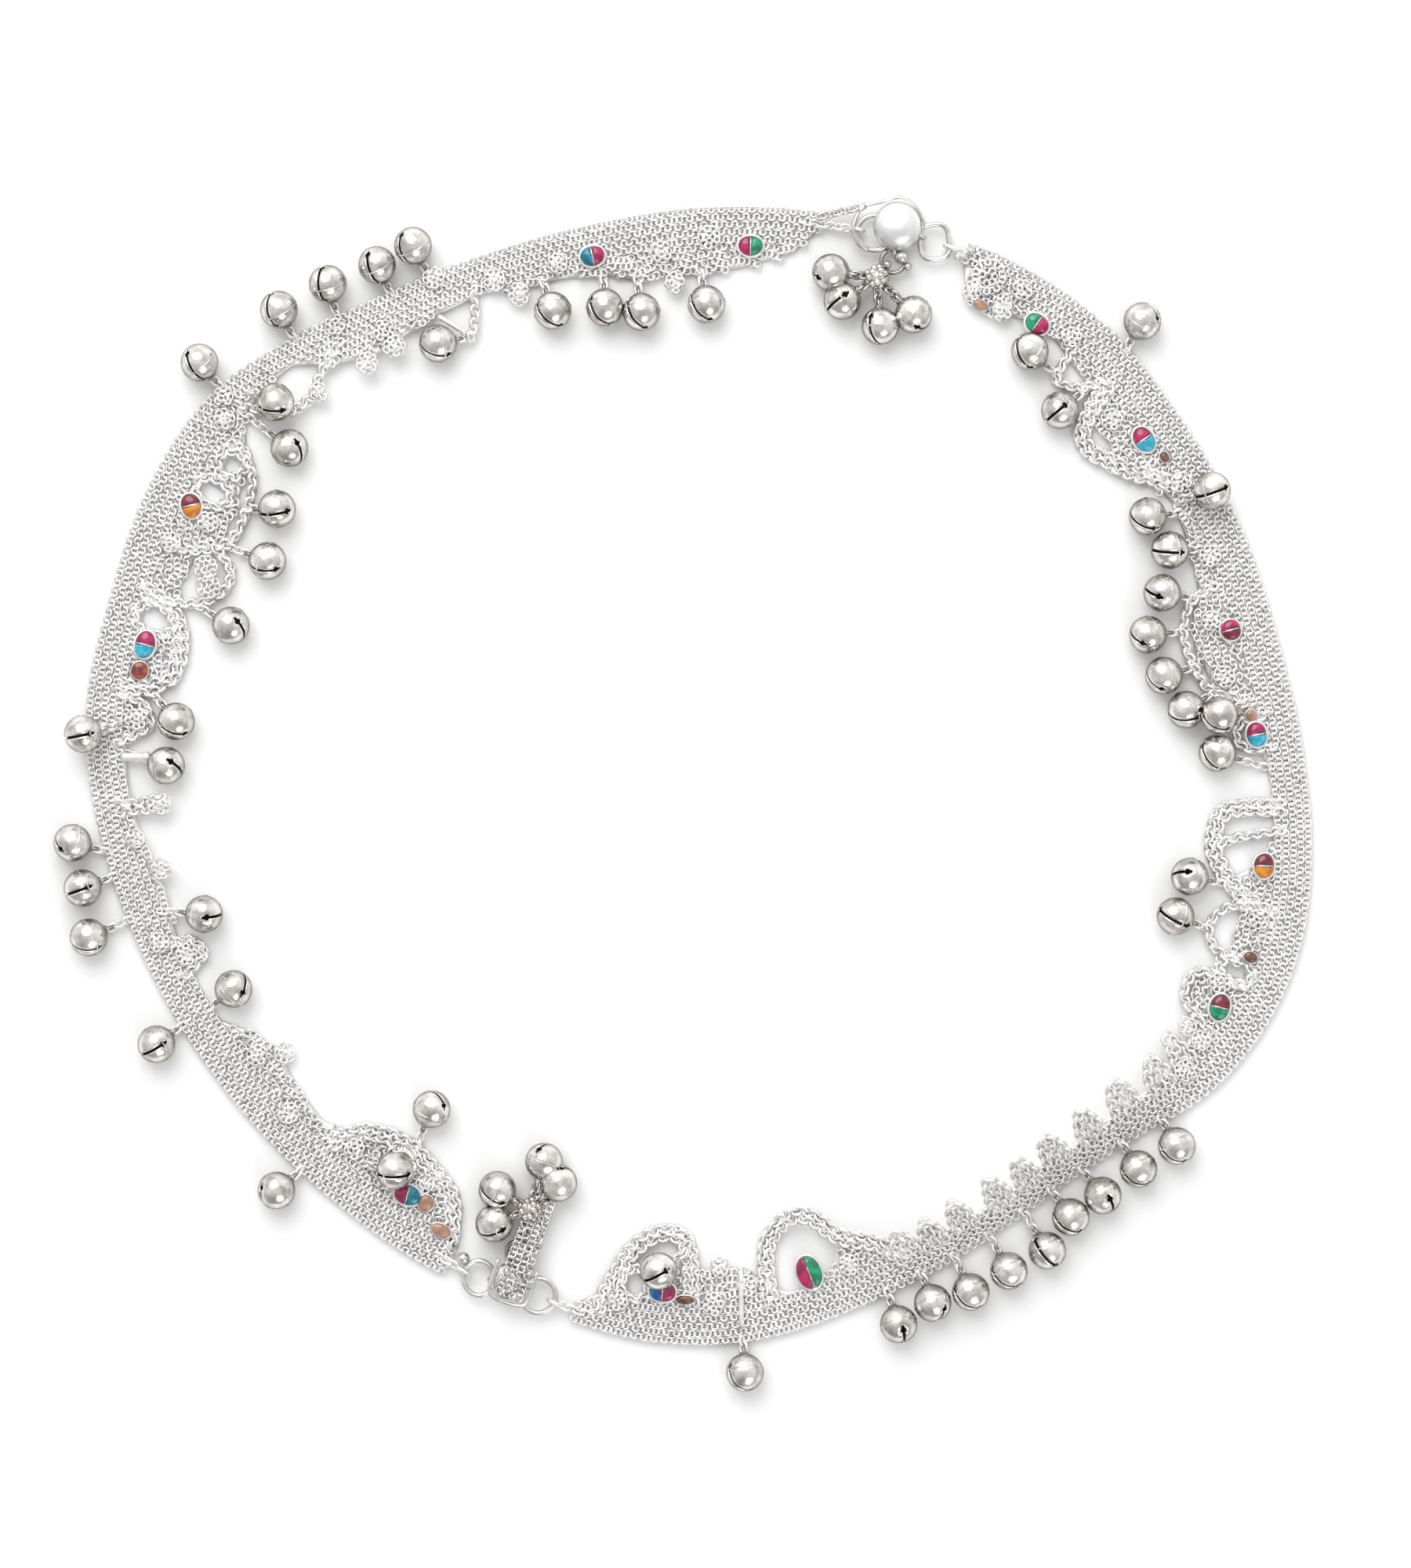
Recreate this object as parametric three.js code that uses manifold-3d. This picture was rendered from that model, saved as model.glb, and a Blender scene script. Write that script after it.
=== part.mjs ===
import * as THREE from 'three';
import { mergeVertices } from 'three/addons/utils/BufferGeometryUtils.js';
import Module from 'manifold-3d';

// Payal anklet: two bell-hung chain lengths, hooked end to end, lying as one closed loop.
// Millimetres, +Z up, resting on z = 0. Stations are degrees around the middle of the loop,
// counted from +X towards +Y. The smooth outer edge of the band is the route, and "out" is
// how far a point lies from that edge towards the middle, as a share of the band's width.

// Loop and band
const LOOP_RADIUS = 85;
const BAND_WIDTH = 6.2;
const BAND_THICKNESS = 1.5;
const BAND_STEP = 4;
const EDGE_CHAMFER = 0.4;

// Chain motifs soldered to the band
const MOTIF_LIFT = 0.15;
const MOTIF_THICKNESS = 1.2;
const SINGLE_CHAIN = 1.5;
const DOUBLE_CHAIN = 2.6;
const TOOTH_WIDTH = 3.6;
const TOOTH_HEIGHT = 4.4;
const WINDOW_SIZE = 3;
const WINDOW_SIDES = 8;
const KNOB_DIAMETER = 3;
const KNOB_SIDES = 6;

// Bells and the links that hold them
const BELL_DIAMETER = 5.4;
const BELL_SIDES = 10;
const BELL_LEVELS = 4;
const LINK_WIRE = 0.45;
const LINK_SIDES = 5;
const LINK_LENGTH = 2.4;
const LINK_CLEARANCE = 0.25;
const STRING_WIRE = 0.8;

// Enamelled stones
const STONE_DIAMETER = 2.6;
const STONE_HEIGHT = 1.1;
const STONE_TABLE = 0.6;
const STONE_FACETS = 8;

// Clasps
const RING_DIAMETER = 5;
const RING_WIRE = 0.85;
const RING_SIDES = 14;
const EYE_WIRE = 0.6;
const CLUSTER_RING_DIAMETER = 3.4;
const DOME_DIAMETER = 7;
const DOME_HEIGHT = 2.8;
const PLATE_DIAMETER = 6;
const PLATE_HEIGHT = 1.4;
const KNOT_DIAMETER = 2.6;
const CLEARANCE = 0.3;

// Worked-out sizes
const bellRadius = BELL_DIAMETER / 2;
const linkReach = LINK_WIRE + LINK_CLEARANCE;
const linkStandoff = bellRadius + LINK_WIRE / 2 + LINK_CLEARANCE;
const linkHeight = 1.35 * linkReach + (LINK_WIRE + LINK_CLEARANCE) / 2;
const eyeRadius = (RING_WIRE + EYE_WIRE) / 2 + CLEARANCE;
const ringHeight = eyeRadius + EYE_WIRE / 2 + CLEARANCE / 2;
const plateBase = ringHeight + RING_WIRE / 2 + CLEARANCE;

// Finishes
const SILVER = { color: 0xe4e3df, roughness: 0.34, metalness: 0.95 };
const POLISHED = { color: 0xf0eeea, roughness: 0.14, metalness: 1 };
const CRIMSON = { color: 0xb3124a, roughness: 0.25, metalness: 0.1 };
const TEAL = { color: 0x1f93b4, roughness: 0.25, metalness: 0.1 };
const GREEN = { color: 0x1f8a5c, roughness: 0.25, metalness: 0.1 };
const AMBER = { color: 0xd9891f, roughness: 0.25, metalness: 0.1 };

// Route of the outer edge: how far it lies from the middle, as a share of the loop's radius.
const routePoints = [
  { at: 0, share: 1.043 }, { at: 12, share: 1.022 }, { at: 24, share: 1.022 },
  { at: 36, share: 1.026 }, { at: 48, share: 1.034 }, { at: 60, share: 1.02 },
  { at: 69, share: 0.99 }, { at: 77, share: 0.974 }, { at: 88, share: 0.958 },
  { at: 100, share: 0.943 }, { at: 112, share: 0.944 }, { at: 124, share: 0.962 },
  { at: 134, share: 1.003 }, { at: 142, share: 1.034 }, { at: 152, share: 1.037 },
  { at: 163, share: 1.026 }, { at: 175, share: 1.027 }, { at: 187, share: 1 },
  { at: 200, share: 0.974 }, { at: 215, share: 0.953 }, { at: 230, share: 0.944 },
  { at: 243, share: 0.948 }, { at: 250, share: 0.946 }, { at: 257, share: 0.95 },
  { at: 266, share: 0.966 }, { at: 276, share: 0.968 }, { at: 288, share: 0.947 },
  { at: 302, share: 0.931 }, { at: 313, share: 0.937 }, { at: 321, share: 0.972 },
  { at: 329, share: 1.036 }, { at: 337, share: 1.068 }, { at: 345, share: 1.075 },
  { at: 353, share: 1.061 },
];

// Width of each band as a share of BAND_WIDTH, and how far its inner edge is turned up.
const leftSections = [
  { at: 77, wide: 0.55, roll: 0 }, { at: 79, wide: 1.05, roll: 0 }, { at: 82, wide: 1.3, roll: 0 },
  { at: 85, wide: 1.5, roll: 0 }, { at: 90, wide: 1.58, roll: 0 }, { at: 97, wide: 1.55, roll: 0 },
  { at: 99.5, wide: 1.33, roll: 0 }, { at: 104, wide: 1.15, roll: 0 }, { at: 110, wide: 1.1, roll: 0 },
  { at: 113, wide: 0.92, roll: 0 }, { at: 119, wide: 1, roll: 6 }, { at: 126, wide: 1.25, roll: 8 },
  { at: 130, wide: 1.05, roll: 6 }, { at: 134, wide: 0.6, roll: 3 }, { at: 139, wide: 0.85, roll: 0 },
  { at: 142, wide: 1.25, roll: 0 }, { at: 145, wide: 1.8, roll: 0 }, { at: 149, wide: 2.05, roll: 0 },
  { at: 154, wide: 2.1, roll: 0 }, { at: 158, wide: 1.65, roll: 0 }, { at: 161, wide: 1.5, roll: 0 },
  { at: 164, wide: 1.7, roll: 0 }, { at: 168, wide: 1.85, roll: 0 }, { at: 171, wide: 1.5, roll: 0 },
  { at: 173, wide: 1.05, roll: 0 }, { at: 178, wide: 1, roll: 0 }, { at: 184, wide: 0.9, roll: 6 },
  { at: 191, wide: 1.1, roll: 6 }, { at: 200, wide: 0.95, roll: 0 }, { at: 208, wide: 0.9, roll: 0 },
  { at: 211.5, wide: 1.45, roll: 0 }, { at: 215, wide: 1.6, roll: 0 }, { at: 219, wide: 1.4, roll: 0 },
  { at: 224, wide: 1.3, roll: 0 }, { at: 228, wide: 1.75, roll: 0 }, { at: 233, wide: 2, roll: 0 },
  { at: 237.5, wide: 2, roll: 0 }, { at: 240.5, wide: 1.75, roll: 0 },
  { at: 243.5, wide: 0.7, roll: 0 },
];
const rightSections = [
  { at: 258, wide: 0.55, roll: 0 }, { at: 260, wide: 0.95, roll: 0 },
  { at: 262.5, wide: 1.55, roll: 0 }, { at: 266, wide: 1.85, roll: 0 }, { at: 270, wide: 1.8, roll: 0 },
  { at: 276.5, wide: 1.8, roll: 0 }, { at: 279, wide: 1.35, roll: 0 }, { at: 281, wide: 0.95, roll: 0 },
  { at: 285, wide: 0.85, roll: 4 }, { at: 288.5, wide: 1.6, roll: 8 },
  { at: 292, wide: 1.3, roll: 15 }, { at: 294.5, wide: 0.95, roll: 22 },
  { at: 297, wide: 0.85, roll: 30 }, { at: 304, wide: 0.85, roll: 40 },
  { at: 316, wide: 0.9, roll: 40 }, { at: 323, wide: 0.95, roll: 28 }, { at: 329, wide: 1.15, roll: 8 },
  { at: 332, wide: 1.5, roll: 2 }, { at: 334, wide: 1.95, roll: 0 }, { at: 338, wide: 1.9, roll: 0 },
  { at: 341, wide: 1.6, roll: 0 }, { at: 346, wide: 1.6, roll: 0 }, { at: 348.5, wide: 2, roll: 0 },
  { at: 350, wide: 1.9, roll: 0 }, { at: 351.5, wide: 1.2, roll: 0 }, { at: 354, wide: 0.95, roll: 0 },
  { at: 359, wide: 0.9, roll: 0 }, { at: 362, wide: 1, roll: 0 }, { at: 366, wide: 1.4, roll: 0 },
  { at: 369, wide: 1.75, roll: 0 }, { at: 374, wide: 2, roll: 0 }, { at: 377, wide: 1.85, roll: 0 },
  { at: 379, wide: 1.55, roll: 0 }, { at: 383, wide: 1.4, roll: 0 }, { at: 389, wide: 1.25, roll: 0 },
  { at: 392.5, wide: 1.5, roll: 0 }, { at: 396, wide: 1.8, roll: 0 }, { at: 400, wide: 1.75, roll: 0 },
  { at: 403, wide: 1.35, roll: 0 }, { at: 406, wide: 1.3, roll: 0 }, { at: 412, wide: 1, roll: 0 },
  { at: 415.3, wide: 1.2, roll: 0 }, { at: 417.5, wide: 1.38, roll: 0 },
  { at: 419.7, wide: 1.42, roll: 0 }, { at: 421.2, wide: 1.05, roll: 0 }, { at: 422, wide: 0.6, roll: 0 },
];

// Chain strokes, open at both ends, with their ends buried in the band: paisleys, hearts, scrolls.
const leftStrokes = [
  { chain: SINGLE_CHAIN, path: [[114, 0.7], [114.8, 1.3], [116, 1.7]] },
  { chain: SINGLE_CHAIN, path: [[128.5, 0.6], [131.5, 1.05], [134, 1.45], [137.5, 1.35], [140.5, 0.6]] },
  { chain: SINGLE_CHAIN, path: [[145, 1.1], [144.5, 1.6], [145.8, 2], [149, 2.25], [153, 2.3], [156, 1.8], [157, 0.9]] },
  { chain: SINGLE_CHAIN, path: [[155, 1.9], [157, 2.5], [159.5, 2.5], [161.5, 2], [162.5, 0.9]] },
  { chain: DOUBLE_CHAIN, path: [[161.5, 0.7], [163.1, 1.55], [166, 1.9], [169.2, 1.85], [171, 1.4], [171.5, 0.7]] },
  { chain: SINGLE_CHAIN, path: [[172, 0.7], [173, 1.3], [175.5, 1.5], [177.5, 0.7]] },
  { chain: DOUBLE_CHAIN, path: [[184, 0.6], [184.4, 1.5]] },
  { chain: SINGLE_CHAIN, path: [[198.5, 0.6], [199.3, 1.2], [201.3, 1.25], [202.3, 0.6]] },
  { chain: DOUBLE_CHAIN, path: [[226, 0.9], [227.5, 1.6], [230.2, 1.95], [233.5, 2.1], [237.2, 1.95], [241, 1.6], [243, 0.7]] },
];
const rightStrokes = [
  { chain: DOUBLE_CHAIN, path: [[260, 0.5], [261.4, 1.75], [263.6, 2.35], [267, 2.55], [269.4, 2.25], [270, 1]] },
  { chain: DOUBLE_CHAIN, path: [[279, 0.8], [280, 1.9], [282.2, 2.38], [285, 2.55], [287, 2.3], [288.4, 1.75], [292, 1.3], [294, 0.7]] },
  { chain: SINGLE_CHAIN, path: [[332.5, 0.9], [333.5, 1.85], [336.1, 2.1], [338, 1.85], [338.6, 0.9]] },
  { chain: SINGLE_CHAIN, path: [[340.6, 1.3], [341.2, 1.9], [343, 2.15], [345, 2.1], [346.6, 1.8], [347, 1.3]] },
  { chain: DOUBLE_CHAIN, path: [[357, 0.7], [357.3, 1.75], [356.3, 2.15], [353.2, 2.3], [350.5, 2.05], [348.2, 1.6], [346.2, 0.8]] },
  { chain: SINGLE_CHAIN, path: [[353.6, 2.1], [354.2, 1.7], [354.8, 0.7]] },
  { chain: SINGLE_CHAIN, path: [[362.8, 0.7], [363, 1.25], [364.3, 1.5], [365.8, 1.3], [366, 0.7]] },
  { chain: SINGLE_CHAIN, path: [[368, 1.1], [369.5, 1.8], [372, 2.05], [375.5, 2.1], [378.5, 1.75], [379.5, 1.1]] },
  { chain: DOUBLE_CHAIN, path: [[402.5, 1], [401, 1.9], [398.8, 2.2], [396.2, 1.95], [393.4, 1.55], [390.5, 0.9]] },
  { chain: SINGLE_CHAIN, path: [[408, 0.9], [407, 1.7], [404.5, 1.5], [403, 0.9]] },
];

// Small filled pieces soldered to the inner edge: teeth with a tip, and round knobs.
const teeth = [
  { at: 294.6, tall: 0.6 }, { at: 297.8, tall: 0.8 }, { at: 301.4, tall: 1 }, { at: 306, tall: 1.1 },
  { at: 309.6, tall: 1 }, { at: 313.2, tall: 1.1 }, { at: 317.3, tall: 1.1 }, { at: 321.3, tall: 1.1 },
  { at: 325, tall: 0.9 }, { at: 328.3, tall: 0.9 },
];
const leftKnobs = [
  { at: 92.5, out: 1.7, size: 1 }, { at: 109.5, out: 1.15, size: 1.1 }, { at: 123.8, out: 1.25, size: 1 },
  { at: 126.8, out: 1.35, size: 1 }, { at: 184.4, out: 1.55, size: 1.1 }, { at: 191, out: 1.2, size: 1 },
  { at: 215.2, out: 1.65, size: 1 },
];
const rightKnobs = [
  { at: 273.6, out: 1.8, size: 1 }, { at: 331.3, out: 1.5, size: 0.9 }, { at: 416.3, out: 1.18, size: 0.9 },
];

// Windows pierced through the silver, their length and depth as shares of WINDOW_SIZE.
const leftWindows = [
  { at: 145.7, out: 1.42, long: 1.2, deep: 0.6 }, { at: 149.7, out: 1.4, long: 0.75, deep: 1.1 },
  { at: 164, out: 1.15, long: 0.85, deep: 1.3 }, { at: 233.2, out: 1.75, long: 0.65, deep: 0.5 },
];
const rightWindows = [
  { at: 263.2, out: 1.25, long: 0.9, deep: 0.8 }, { at: 339.6, out: 1.22, long: 0.7, deep: 0.95 },
];

// Bells: the station and depth of the link's root on the silver, the way the link leans from
// straight inwards, its length as a share of LINK_LENGTH, and whether the bell lies on the band.
const leftBells = [
  { name: 'bell_left_01', at: 89.5, out: 1.35, lean: -6, link: 1.25, raised: false },
  { name: 'bell_left_04', at: 106.6, out: 1, lean: -2, link: 0.8, raised: false },
  { name: 'bell_left_05', at: 116, out: 1.7, lean: 98, link: 0.85, raised: false },
  { name: 'bell_left_06', at: 117.7, out: 0.1, lean: 175, link: 0.95, raised: false },
  { name: 'bell_left_07', at: 122, out: 0.1, lean: 180, link: 0.75, raised: false },
  { name: 'bell_left_08', at: 127.8, out: 0.1, lean: -171, link: 0.95, raised: false },
  { name: 'bell_left_09', at: 132.4, out: 0.1, lean: -177, link: 0.8, raised: false },
  { name: 'bell_left_10', at: 140.6, out: 0.1, lean: -179, link: 0.8, raised: false },
  { name: 'bell_left_11', at: 138.6, out: 0.5, lean: -27, link: 0.8, raised: true },
  { name: 'bell_left_12', at: 140.6, out: 0.75, lean: -11, link: 2.6, raised: false },
  { name: 'bell_left_13', at: 149.6, out: 2.2, lean: -28, link: 0.9, raised: false },
  { name: 'bell_left_14', at: 154.6, out: 2.1, lean: -2, link: 1.85, raised: false },
  { name: 'bell_left_15', at: 161.7, out: 1.95, lean: 14, link: 1.4, raised: false },
  { name: 'bell_left_16', at: 171.2, out: 1.4, lean: 39, link: 1.4, raised: false },
  { name: 'bell_left_17', at: 178.4, out: 0.85, lean: 22, link: 1.6, raised: false },
  { name: 'bell_left_18', at: 175.5, out: 0.8, lean: 164, link: 0.95, raised: true },
  { name: 'bell_left_19', at: 187.9, out: 0.1, lean: -150, link: 1, raised: false },
  { name: 'bell_left_20', at: 190.2, out: 0.1, lean: 175, link: 0.85, raised: false },
  { name: 'bell_left_21', at: 194.7, out: 0.1, lean: 177, link: 1.5, raised: false },
  { name: 'bell_left_22', at: 195, out: 0.75, lean: 25, link: 1.65, raised: false },
  { name: 'bell_left_23', at: 206.5, out: 0.7, lean: -6, link: 1, raised: false },
  { name: 'bell_left_24', at: 206.5, out: 0.1, lean: 175, link: 0.75, raised: false },
  { name: 'bell_left_25', at: 225.7, out: 0.1, lean: -172, link: 0.75, raised: false },
  { name: 'bell_left_26', at: 233.6, out: 2.15, lean: -14, link: 1.4, raised: false },
  { name: 'bell_left_27', at: 230, out: 1.1, lean: 60, link: 1, raised: true },
];
const rightBells = [
  { name: 'bell_right_01', at: 406.8, out: 1.6, lean: 84, link: 1.2, raised: false },
  { name: 'bell_right_02', at: 403.7, out: 1.3, lean: 3, link: 1.1, raised: false },
  { name: 'bell_right_03', at: 404.1, out: 0.1, lean: 162, link: 0.75, raised: false },
  { name: 'bell_right_04', at: 389.1, out: 1.1, lean: -166, link: 0.9, raised: true },
  { name: 'bell_right_13', at: 349.2, out: 1.95, lean: 7, link: 1.15, raised: false },
  { name: 'bell_right_14', at: 343.2, out: 2.1, lean: 3, link: 1.2, raised: false },
  { name: 'bell_right_25', at: 275.4, out: 0.1, lean: -175, link: 0.8, raised: false },
  { name: 'bell_right_26', at: 269.4, out: 2.2, lean: -125, link: 0.95, raised: true },
];

// Bells strung so close that each string is one piece; "tied" bells also link to the band.
const topPair = [
  { at: 96.6, out: 1.38, lean: 3, link: 1.1, raised: false, tied: true },
  { at: 100.1, out: 1.25, lean: 9, link: 0.75, raised: false, tied: true },
];
const innerRow = [
  { at: 387.7, out: 1.1, lean: 20, link: 1, raised: false, tied: true },
  { at: 383.4, out: 1, lean: 20, link: 0.95, raised: false, tied: false },
  { at: 378.7, out: 1.5, lean: 26, link: 1.15, raised: false, tied: false },
  { at: 375.9, out: 2.05, lean: 11, link: 1.1, raised: false, tied: false },
  { at: 372.2, out: 1.95, lean: 0, link: 1.05, raised: false, tied: true },
  { at: 369.4, out: 1.7, lean: -16, link: 1, raised: false, tied: false },
  { at: 367.7, out: 1, lean: -10, link: 1.05, raised: true, tied: false },
  { at: 360.8, out: 0.85, lean: 22, link: 2.1, raised: false, tied: true },
];
const outerRow = [
  { at: 323.6, out: 0.2, lean: 178, link: 0.85, raised: false, tied: true },
  { at: 319.4, out: 0.2, lean: 180, link: 0.85, raised: false, tied: false },
  { at: 314.7, out: 0.2, lean: 176, link: 1, raised: false, tied: false },
  { at: 310.9, out: 0.2, lean: -179, link: 0.95, raised: false, tied: false },
  { at: 307.3, out: 0.2, lean: -175, link: 1.75, raised: false, tied: true },
  { at: 302.9, out: 0.2, lean: -175, link: 1.45, raised: false, tied: false },
  { at: 298.7, out: 0.2, lean: -173, link: 1.35, raised: false, tied: false },
  { at: 294.9, out: 0.2, lean: -171, link: 0.85, raised: false, tied: false },
  { at: 290.9, out: 0.15, lean: -173, link: 1, raised: false, tied: true },
];

// Enamelled stones, each on a small silver seat: turn from the band's direction, and stretch.
const leftStones = [
  { name: 'stone_pink_green', at: 83.8, out: 0.94, turn: 0, long: 1.2, finish: CRIMSON },
  { name: 'stone_teal_pink', at: 100.8, out: 0.75, turn: 0, long: 1.2, finish: TEAL },
  { name: 'stone_red_orange', at: 152, out: 1.11, turn: 40, long: 1.2, finish: AMBER },
  { name: 'stone_crimson_cyan', at: 167.3, out: 1.1, turn: 0, long: 1.8, finish: TEAL },
  { name: 'stone_crimson_blue', at: 236.1, out: 1.18, turn: 20, long: 1.3, finish: TEAL },
];
const rightStones = [
  { name: 'stone_blue_crimson', at: 266.7, out: 1.2, turn: 0, long: 1.3, finish: CRIMSON },
  { name: 'stone_leaf_pair', at: 284.1, out: 1.2, turn: 0, long: 1.2, finish: GREEN },
  { name: 'stone_maroon_green', at: 335.3, out: 1.16, turn: 20, long: 1.3, finish: GREEN },
  { name: 'stone_orange', at: 351.3, out: 1.12, turn: 0, long: 1.2, finish: AMBER },
  { name: 'stone_small_blue', at: 364.3, out: 1.03, turn: 0, long: 1.2, finish: TEAL },
  { name: 'stone_crimson', at: 374.8, out: 1.03, turn: 0, long: 1, finish: CRIMSON },
  { name: 'stone_crimson_sky', at: 396.1, out: 1.02, turn: 0, long: 1.3, finish: TEAL },
  { name: 'stone_green_pink', at: 412.5, out: 1, turn: 0, long: 1.2, finish: GREEN },
];

// Clasp pieces and what hangs from them, by station and by depth in band widths.
const topClasp = {
  leftRing: { at: 71.3, out: 0.29 },
  middle: { at: 69.2, out: 0.05 },
  rightRing: { at: 65.4, out: 0.2 },
  clusterRing: { at: 68.9, out: 0.84 },
};
const bottomClasp = {
  leftRing: { at: 247.4, out: 0.27 },
  middle: { at: 250.5, out: 0.45 },
  rightRing: { at: 253.8, out: 0.35 },
  clusterRing: { at: 250.3, out: 1.15 },
};
const topCluster = {
  knot: { at: 70.2, out: 1.3 },
  bells: [{ at: 73.1, out: 2 }, { at: 74.9, out: 1.4 }, { at: 68.8, out: 2.39 }, { at: 65.9, out: 1.97 }],
};
const bottomCluster = {
  knot: { at: 249.8, out: 2.2 },
  bells: [{ at: 245.6, out: 2.35 }, { at: 249.5, out: 3.35 }, { at: 252, out: 3 }, { at: 246.8, out: 1.6 }],
};

const wasm = await Module();
wasm.setup();

const radians = THREE.MathUtils.degToRad;
const UP = new THREE.Vector3(0, 0, 1);

// A closed curve through the route points, smooth in the angle around the middle.
function routeShare(at) {
  const count = routePoints.length;
  const angle = ((at % 360) + 360) % 360;
  const index = routePoints.findLastIndex((point) => point.at <= angle);
  const near = routePoints[index];
  const far = routePoints[(index + 1) % count];
  const farAt = index + 1 < count ? far.at : 360;
  const t = (angle - near.at) / (farAt - near.at);
  const before = routePoints[(index + count - 1) % count].share;
  const after = routePoints[(index + 2) % count].share;
  const bend = 2 * before - 5 * near.share + 4 * far.share - after;
  const twist = 3 * (near.share - far.share) + after - before;
  return near.share + 0.5 * t * (far.share - before + t * (bend + t * twist));
}

function routePoint(at) {
  const reach = LOOP_RADIUS * routeShare(at);
  return new THREE.Vector3(reach * Math.cos(radians(at)), reach * Math.sin(radians(at)), 0);
}

// Straight-line reading of one column of a section table.
function readSections(sections, at, column) {
  const last = sections.length - 1;
  if (at <= sections[0].at) return sections[0][column];
  if (at >= sections[last].at) return sections[last][column];
  const index = sections.findLastIndex((section) => section.at <= at);
  const near = sections[index];
  const far = sections[index + 1];
  return THREE.MathUtils.mapLinear(at, near.at, far.at, near[column], far[column]);
}

// Directions at a station: along the route, inwards across it, and out of the band's face.
function stationFrame(sections, at) {
  const along = routePoint(at + 0.5).sub(routePoint(at - 0.5)).normalize();
  const inwards = new THREE.Vector3(-along.y, along.x, 0);
  const roll = radians(readSections(sections, at, 'roll'));
  const across = inwards.clone().multiplyScalar(Math.cos(roll)).addScaledVector(UP, Math.sin(roll));
  const face = inwards.clone().multiplyScalar(-Math.sin(roll)).addScaledVector(UP, Math.cos(roll));
  return { along, inwards, across, face };
}

function place(sections, at, out, rise) {
  const { across, face } = stationFrame(sections, at);
  return routePoint(at).addScaledVector(across, out * BAND_WIDTH).addScaledVector(face, rise);
}

// A closed skin over a row of rings with equal numbers of points.
function loft(rings, closed) {
  const size = rings[0].length;
  const positions = rings.flat().flatMap((point) => [point.x, point.y, point.z]);
  const triangles = [];
  const spans = closed ? rings.length : rings.length - 1;
  for (let ring = 0; ring < spans; ring += 1) {
    const next = ((ring + 1) % rings.length) * size;
    for (let side = 0; side < size; side += 1) {
      const a = ring * size + side;
      const b = ring * size + ((side + 1) % size);
      const c = next + ((side + 1) % size);
      const d = next + side;
      triangles.push(a, b, c, a, c, d);
    }
  }
  if (!closed) {
    const end = (rings.length - 1) * size;
    for (let side = 1; side < size - 1; side += 1) {
      triangles.push(0, side + 1, side, end, end + side, end + side + 1);
    }
  }
  const geometry = new THREE.BufferGeometry();
  geometry.setAttribute('position', new THREE.Float32BufferAttribute(positions, 3));
  geometry.setIndex(triangles);
  return geometry;
}

// Turns a closed geometry into a solid, with its faces pointing outwards.
function solid(geometry) {
  const bare = geometry.clone();
  bare.deleteAttribute('normal');
  bare.deleteAttribute('uv');
  const merged = mergeVertices(bare, 1e-4);
  const vertProperties = new Float32Array(merged.attributes.position.array);
  const triVerts = new Uint32Array(merged.index.array);
  const corner = (index) => new THREE.Vector3().fromArray(vertProperties, index * 3);
  let volume = 0;
  for (let t = 0; t < triVerts.length; t += 3) {
    volume += corner(triVerts[t]).dot(corner(triVerts[t + 1]).cross(corner(triVerts[t + 2])));
  }
  if (volume < 0) triVerts.reverse();
  return new wasm.Manifold(new wasm.Mesh({ numProp: 3, vertProperties, triVerts }));
}

function join(solids) {
  return solids.reduce((whole, next) => whole.add(next));
}

// A wire of round section along a flat path whose plane has the given normal.
function wire(points, diameter, normal) {
  const rings = points.map((point, index) => {
    const before = points[Math.max(index - 1, 0)];
    const after = points[Math.min(index + 1, points.length - 1)];
    const side = after.clone().sub(before).normalize().cross(normal);
    const ring = [];
    for (let step = 0; step < LINK_SIDES; step += 1) {
      const turn = (step / LINK_SIDES) * 2 * Math.PI;
      ring.push(point.clone()
        .addScaledVector(side, (diameter / 2) * Math.cos(turn))
        .addScaledVector(normal, (diameter / 2) * Math.sin(turn)));
    }
    return ring;
  });
  return solid(loft(rings, false));
}

function rod(from, to, diameter) {
  const direction = to.clone().sub(from).normalize();
  const normal = direction.clone().cross(UP).normalize();
  return wire([from, to], diameter, normal);
}

// A ring of wire: lying flat, or standing on edge along a direction.
function ring(centre, diameter, wireDiameter, sides, standing) {
  const geometry = new THREE.TorusGeometry(diameter / 2, wireDiameter / 2, LINK_SIDES, sides);
  if (standing) {
    geometry.rotateX(Math.PI / 2);
    geometry.rotateZ(Math.atan2(standing.y, standing.x));
  }
  geometry.translate(centre.x, centre.y, centre.z);
  return solid(geometry);
}

// The woven band: a flat strip with bevelled edges, its width read from the sections.
function band(sections) {
  const start = sections[0].at;
  const end = sections[sections.length - 1].at;
  const steps = Math.round((end - start) / BAND_STEP);
  const rings = [];
  for (let step = 0; step <= steps; step += 1) {
    const at = start + ((end - start) * step) / steps;
    const wide = readSections(sections, at, 'wide');
    const bevel = EDGE_CHAMFER / BAND_WIDTH;
    const shoulder = BAND_THICKNESS - EDGE_CHAMFER;
    const profile = [
      [0, 0], [wide, 0], [wide, shoulder], [wide - bevel, BAND_THICKNESS], [bevel, BAND_THICKNESS],
      [0, shoulder],
    ];
    rings.push(profile.map(([out, rise]) => place(sections, at, out, rise)));
  }
  return solid(loft(rings, false));
}

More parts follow.
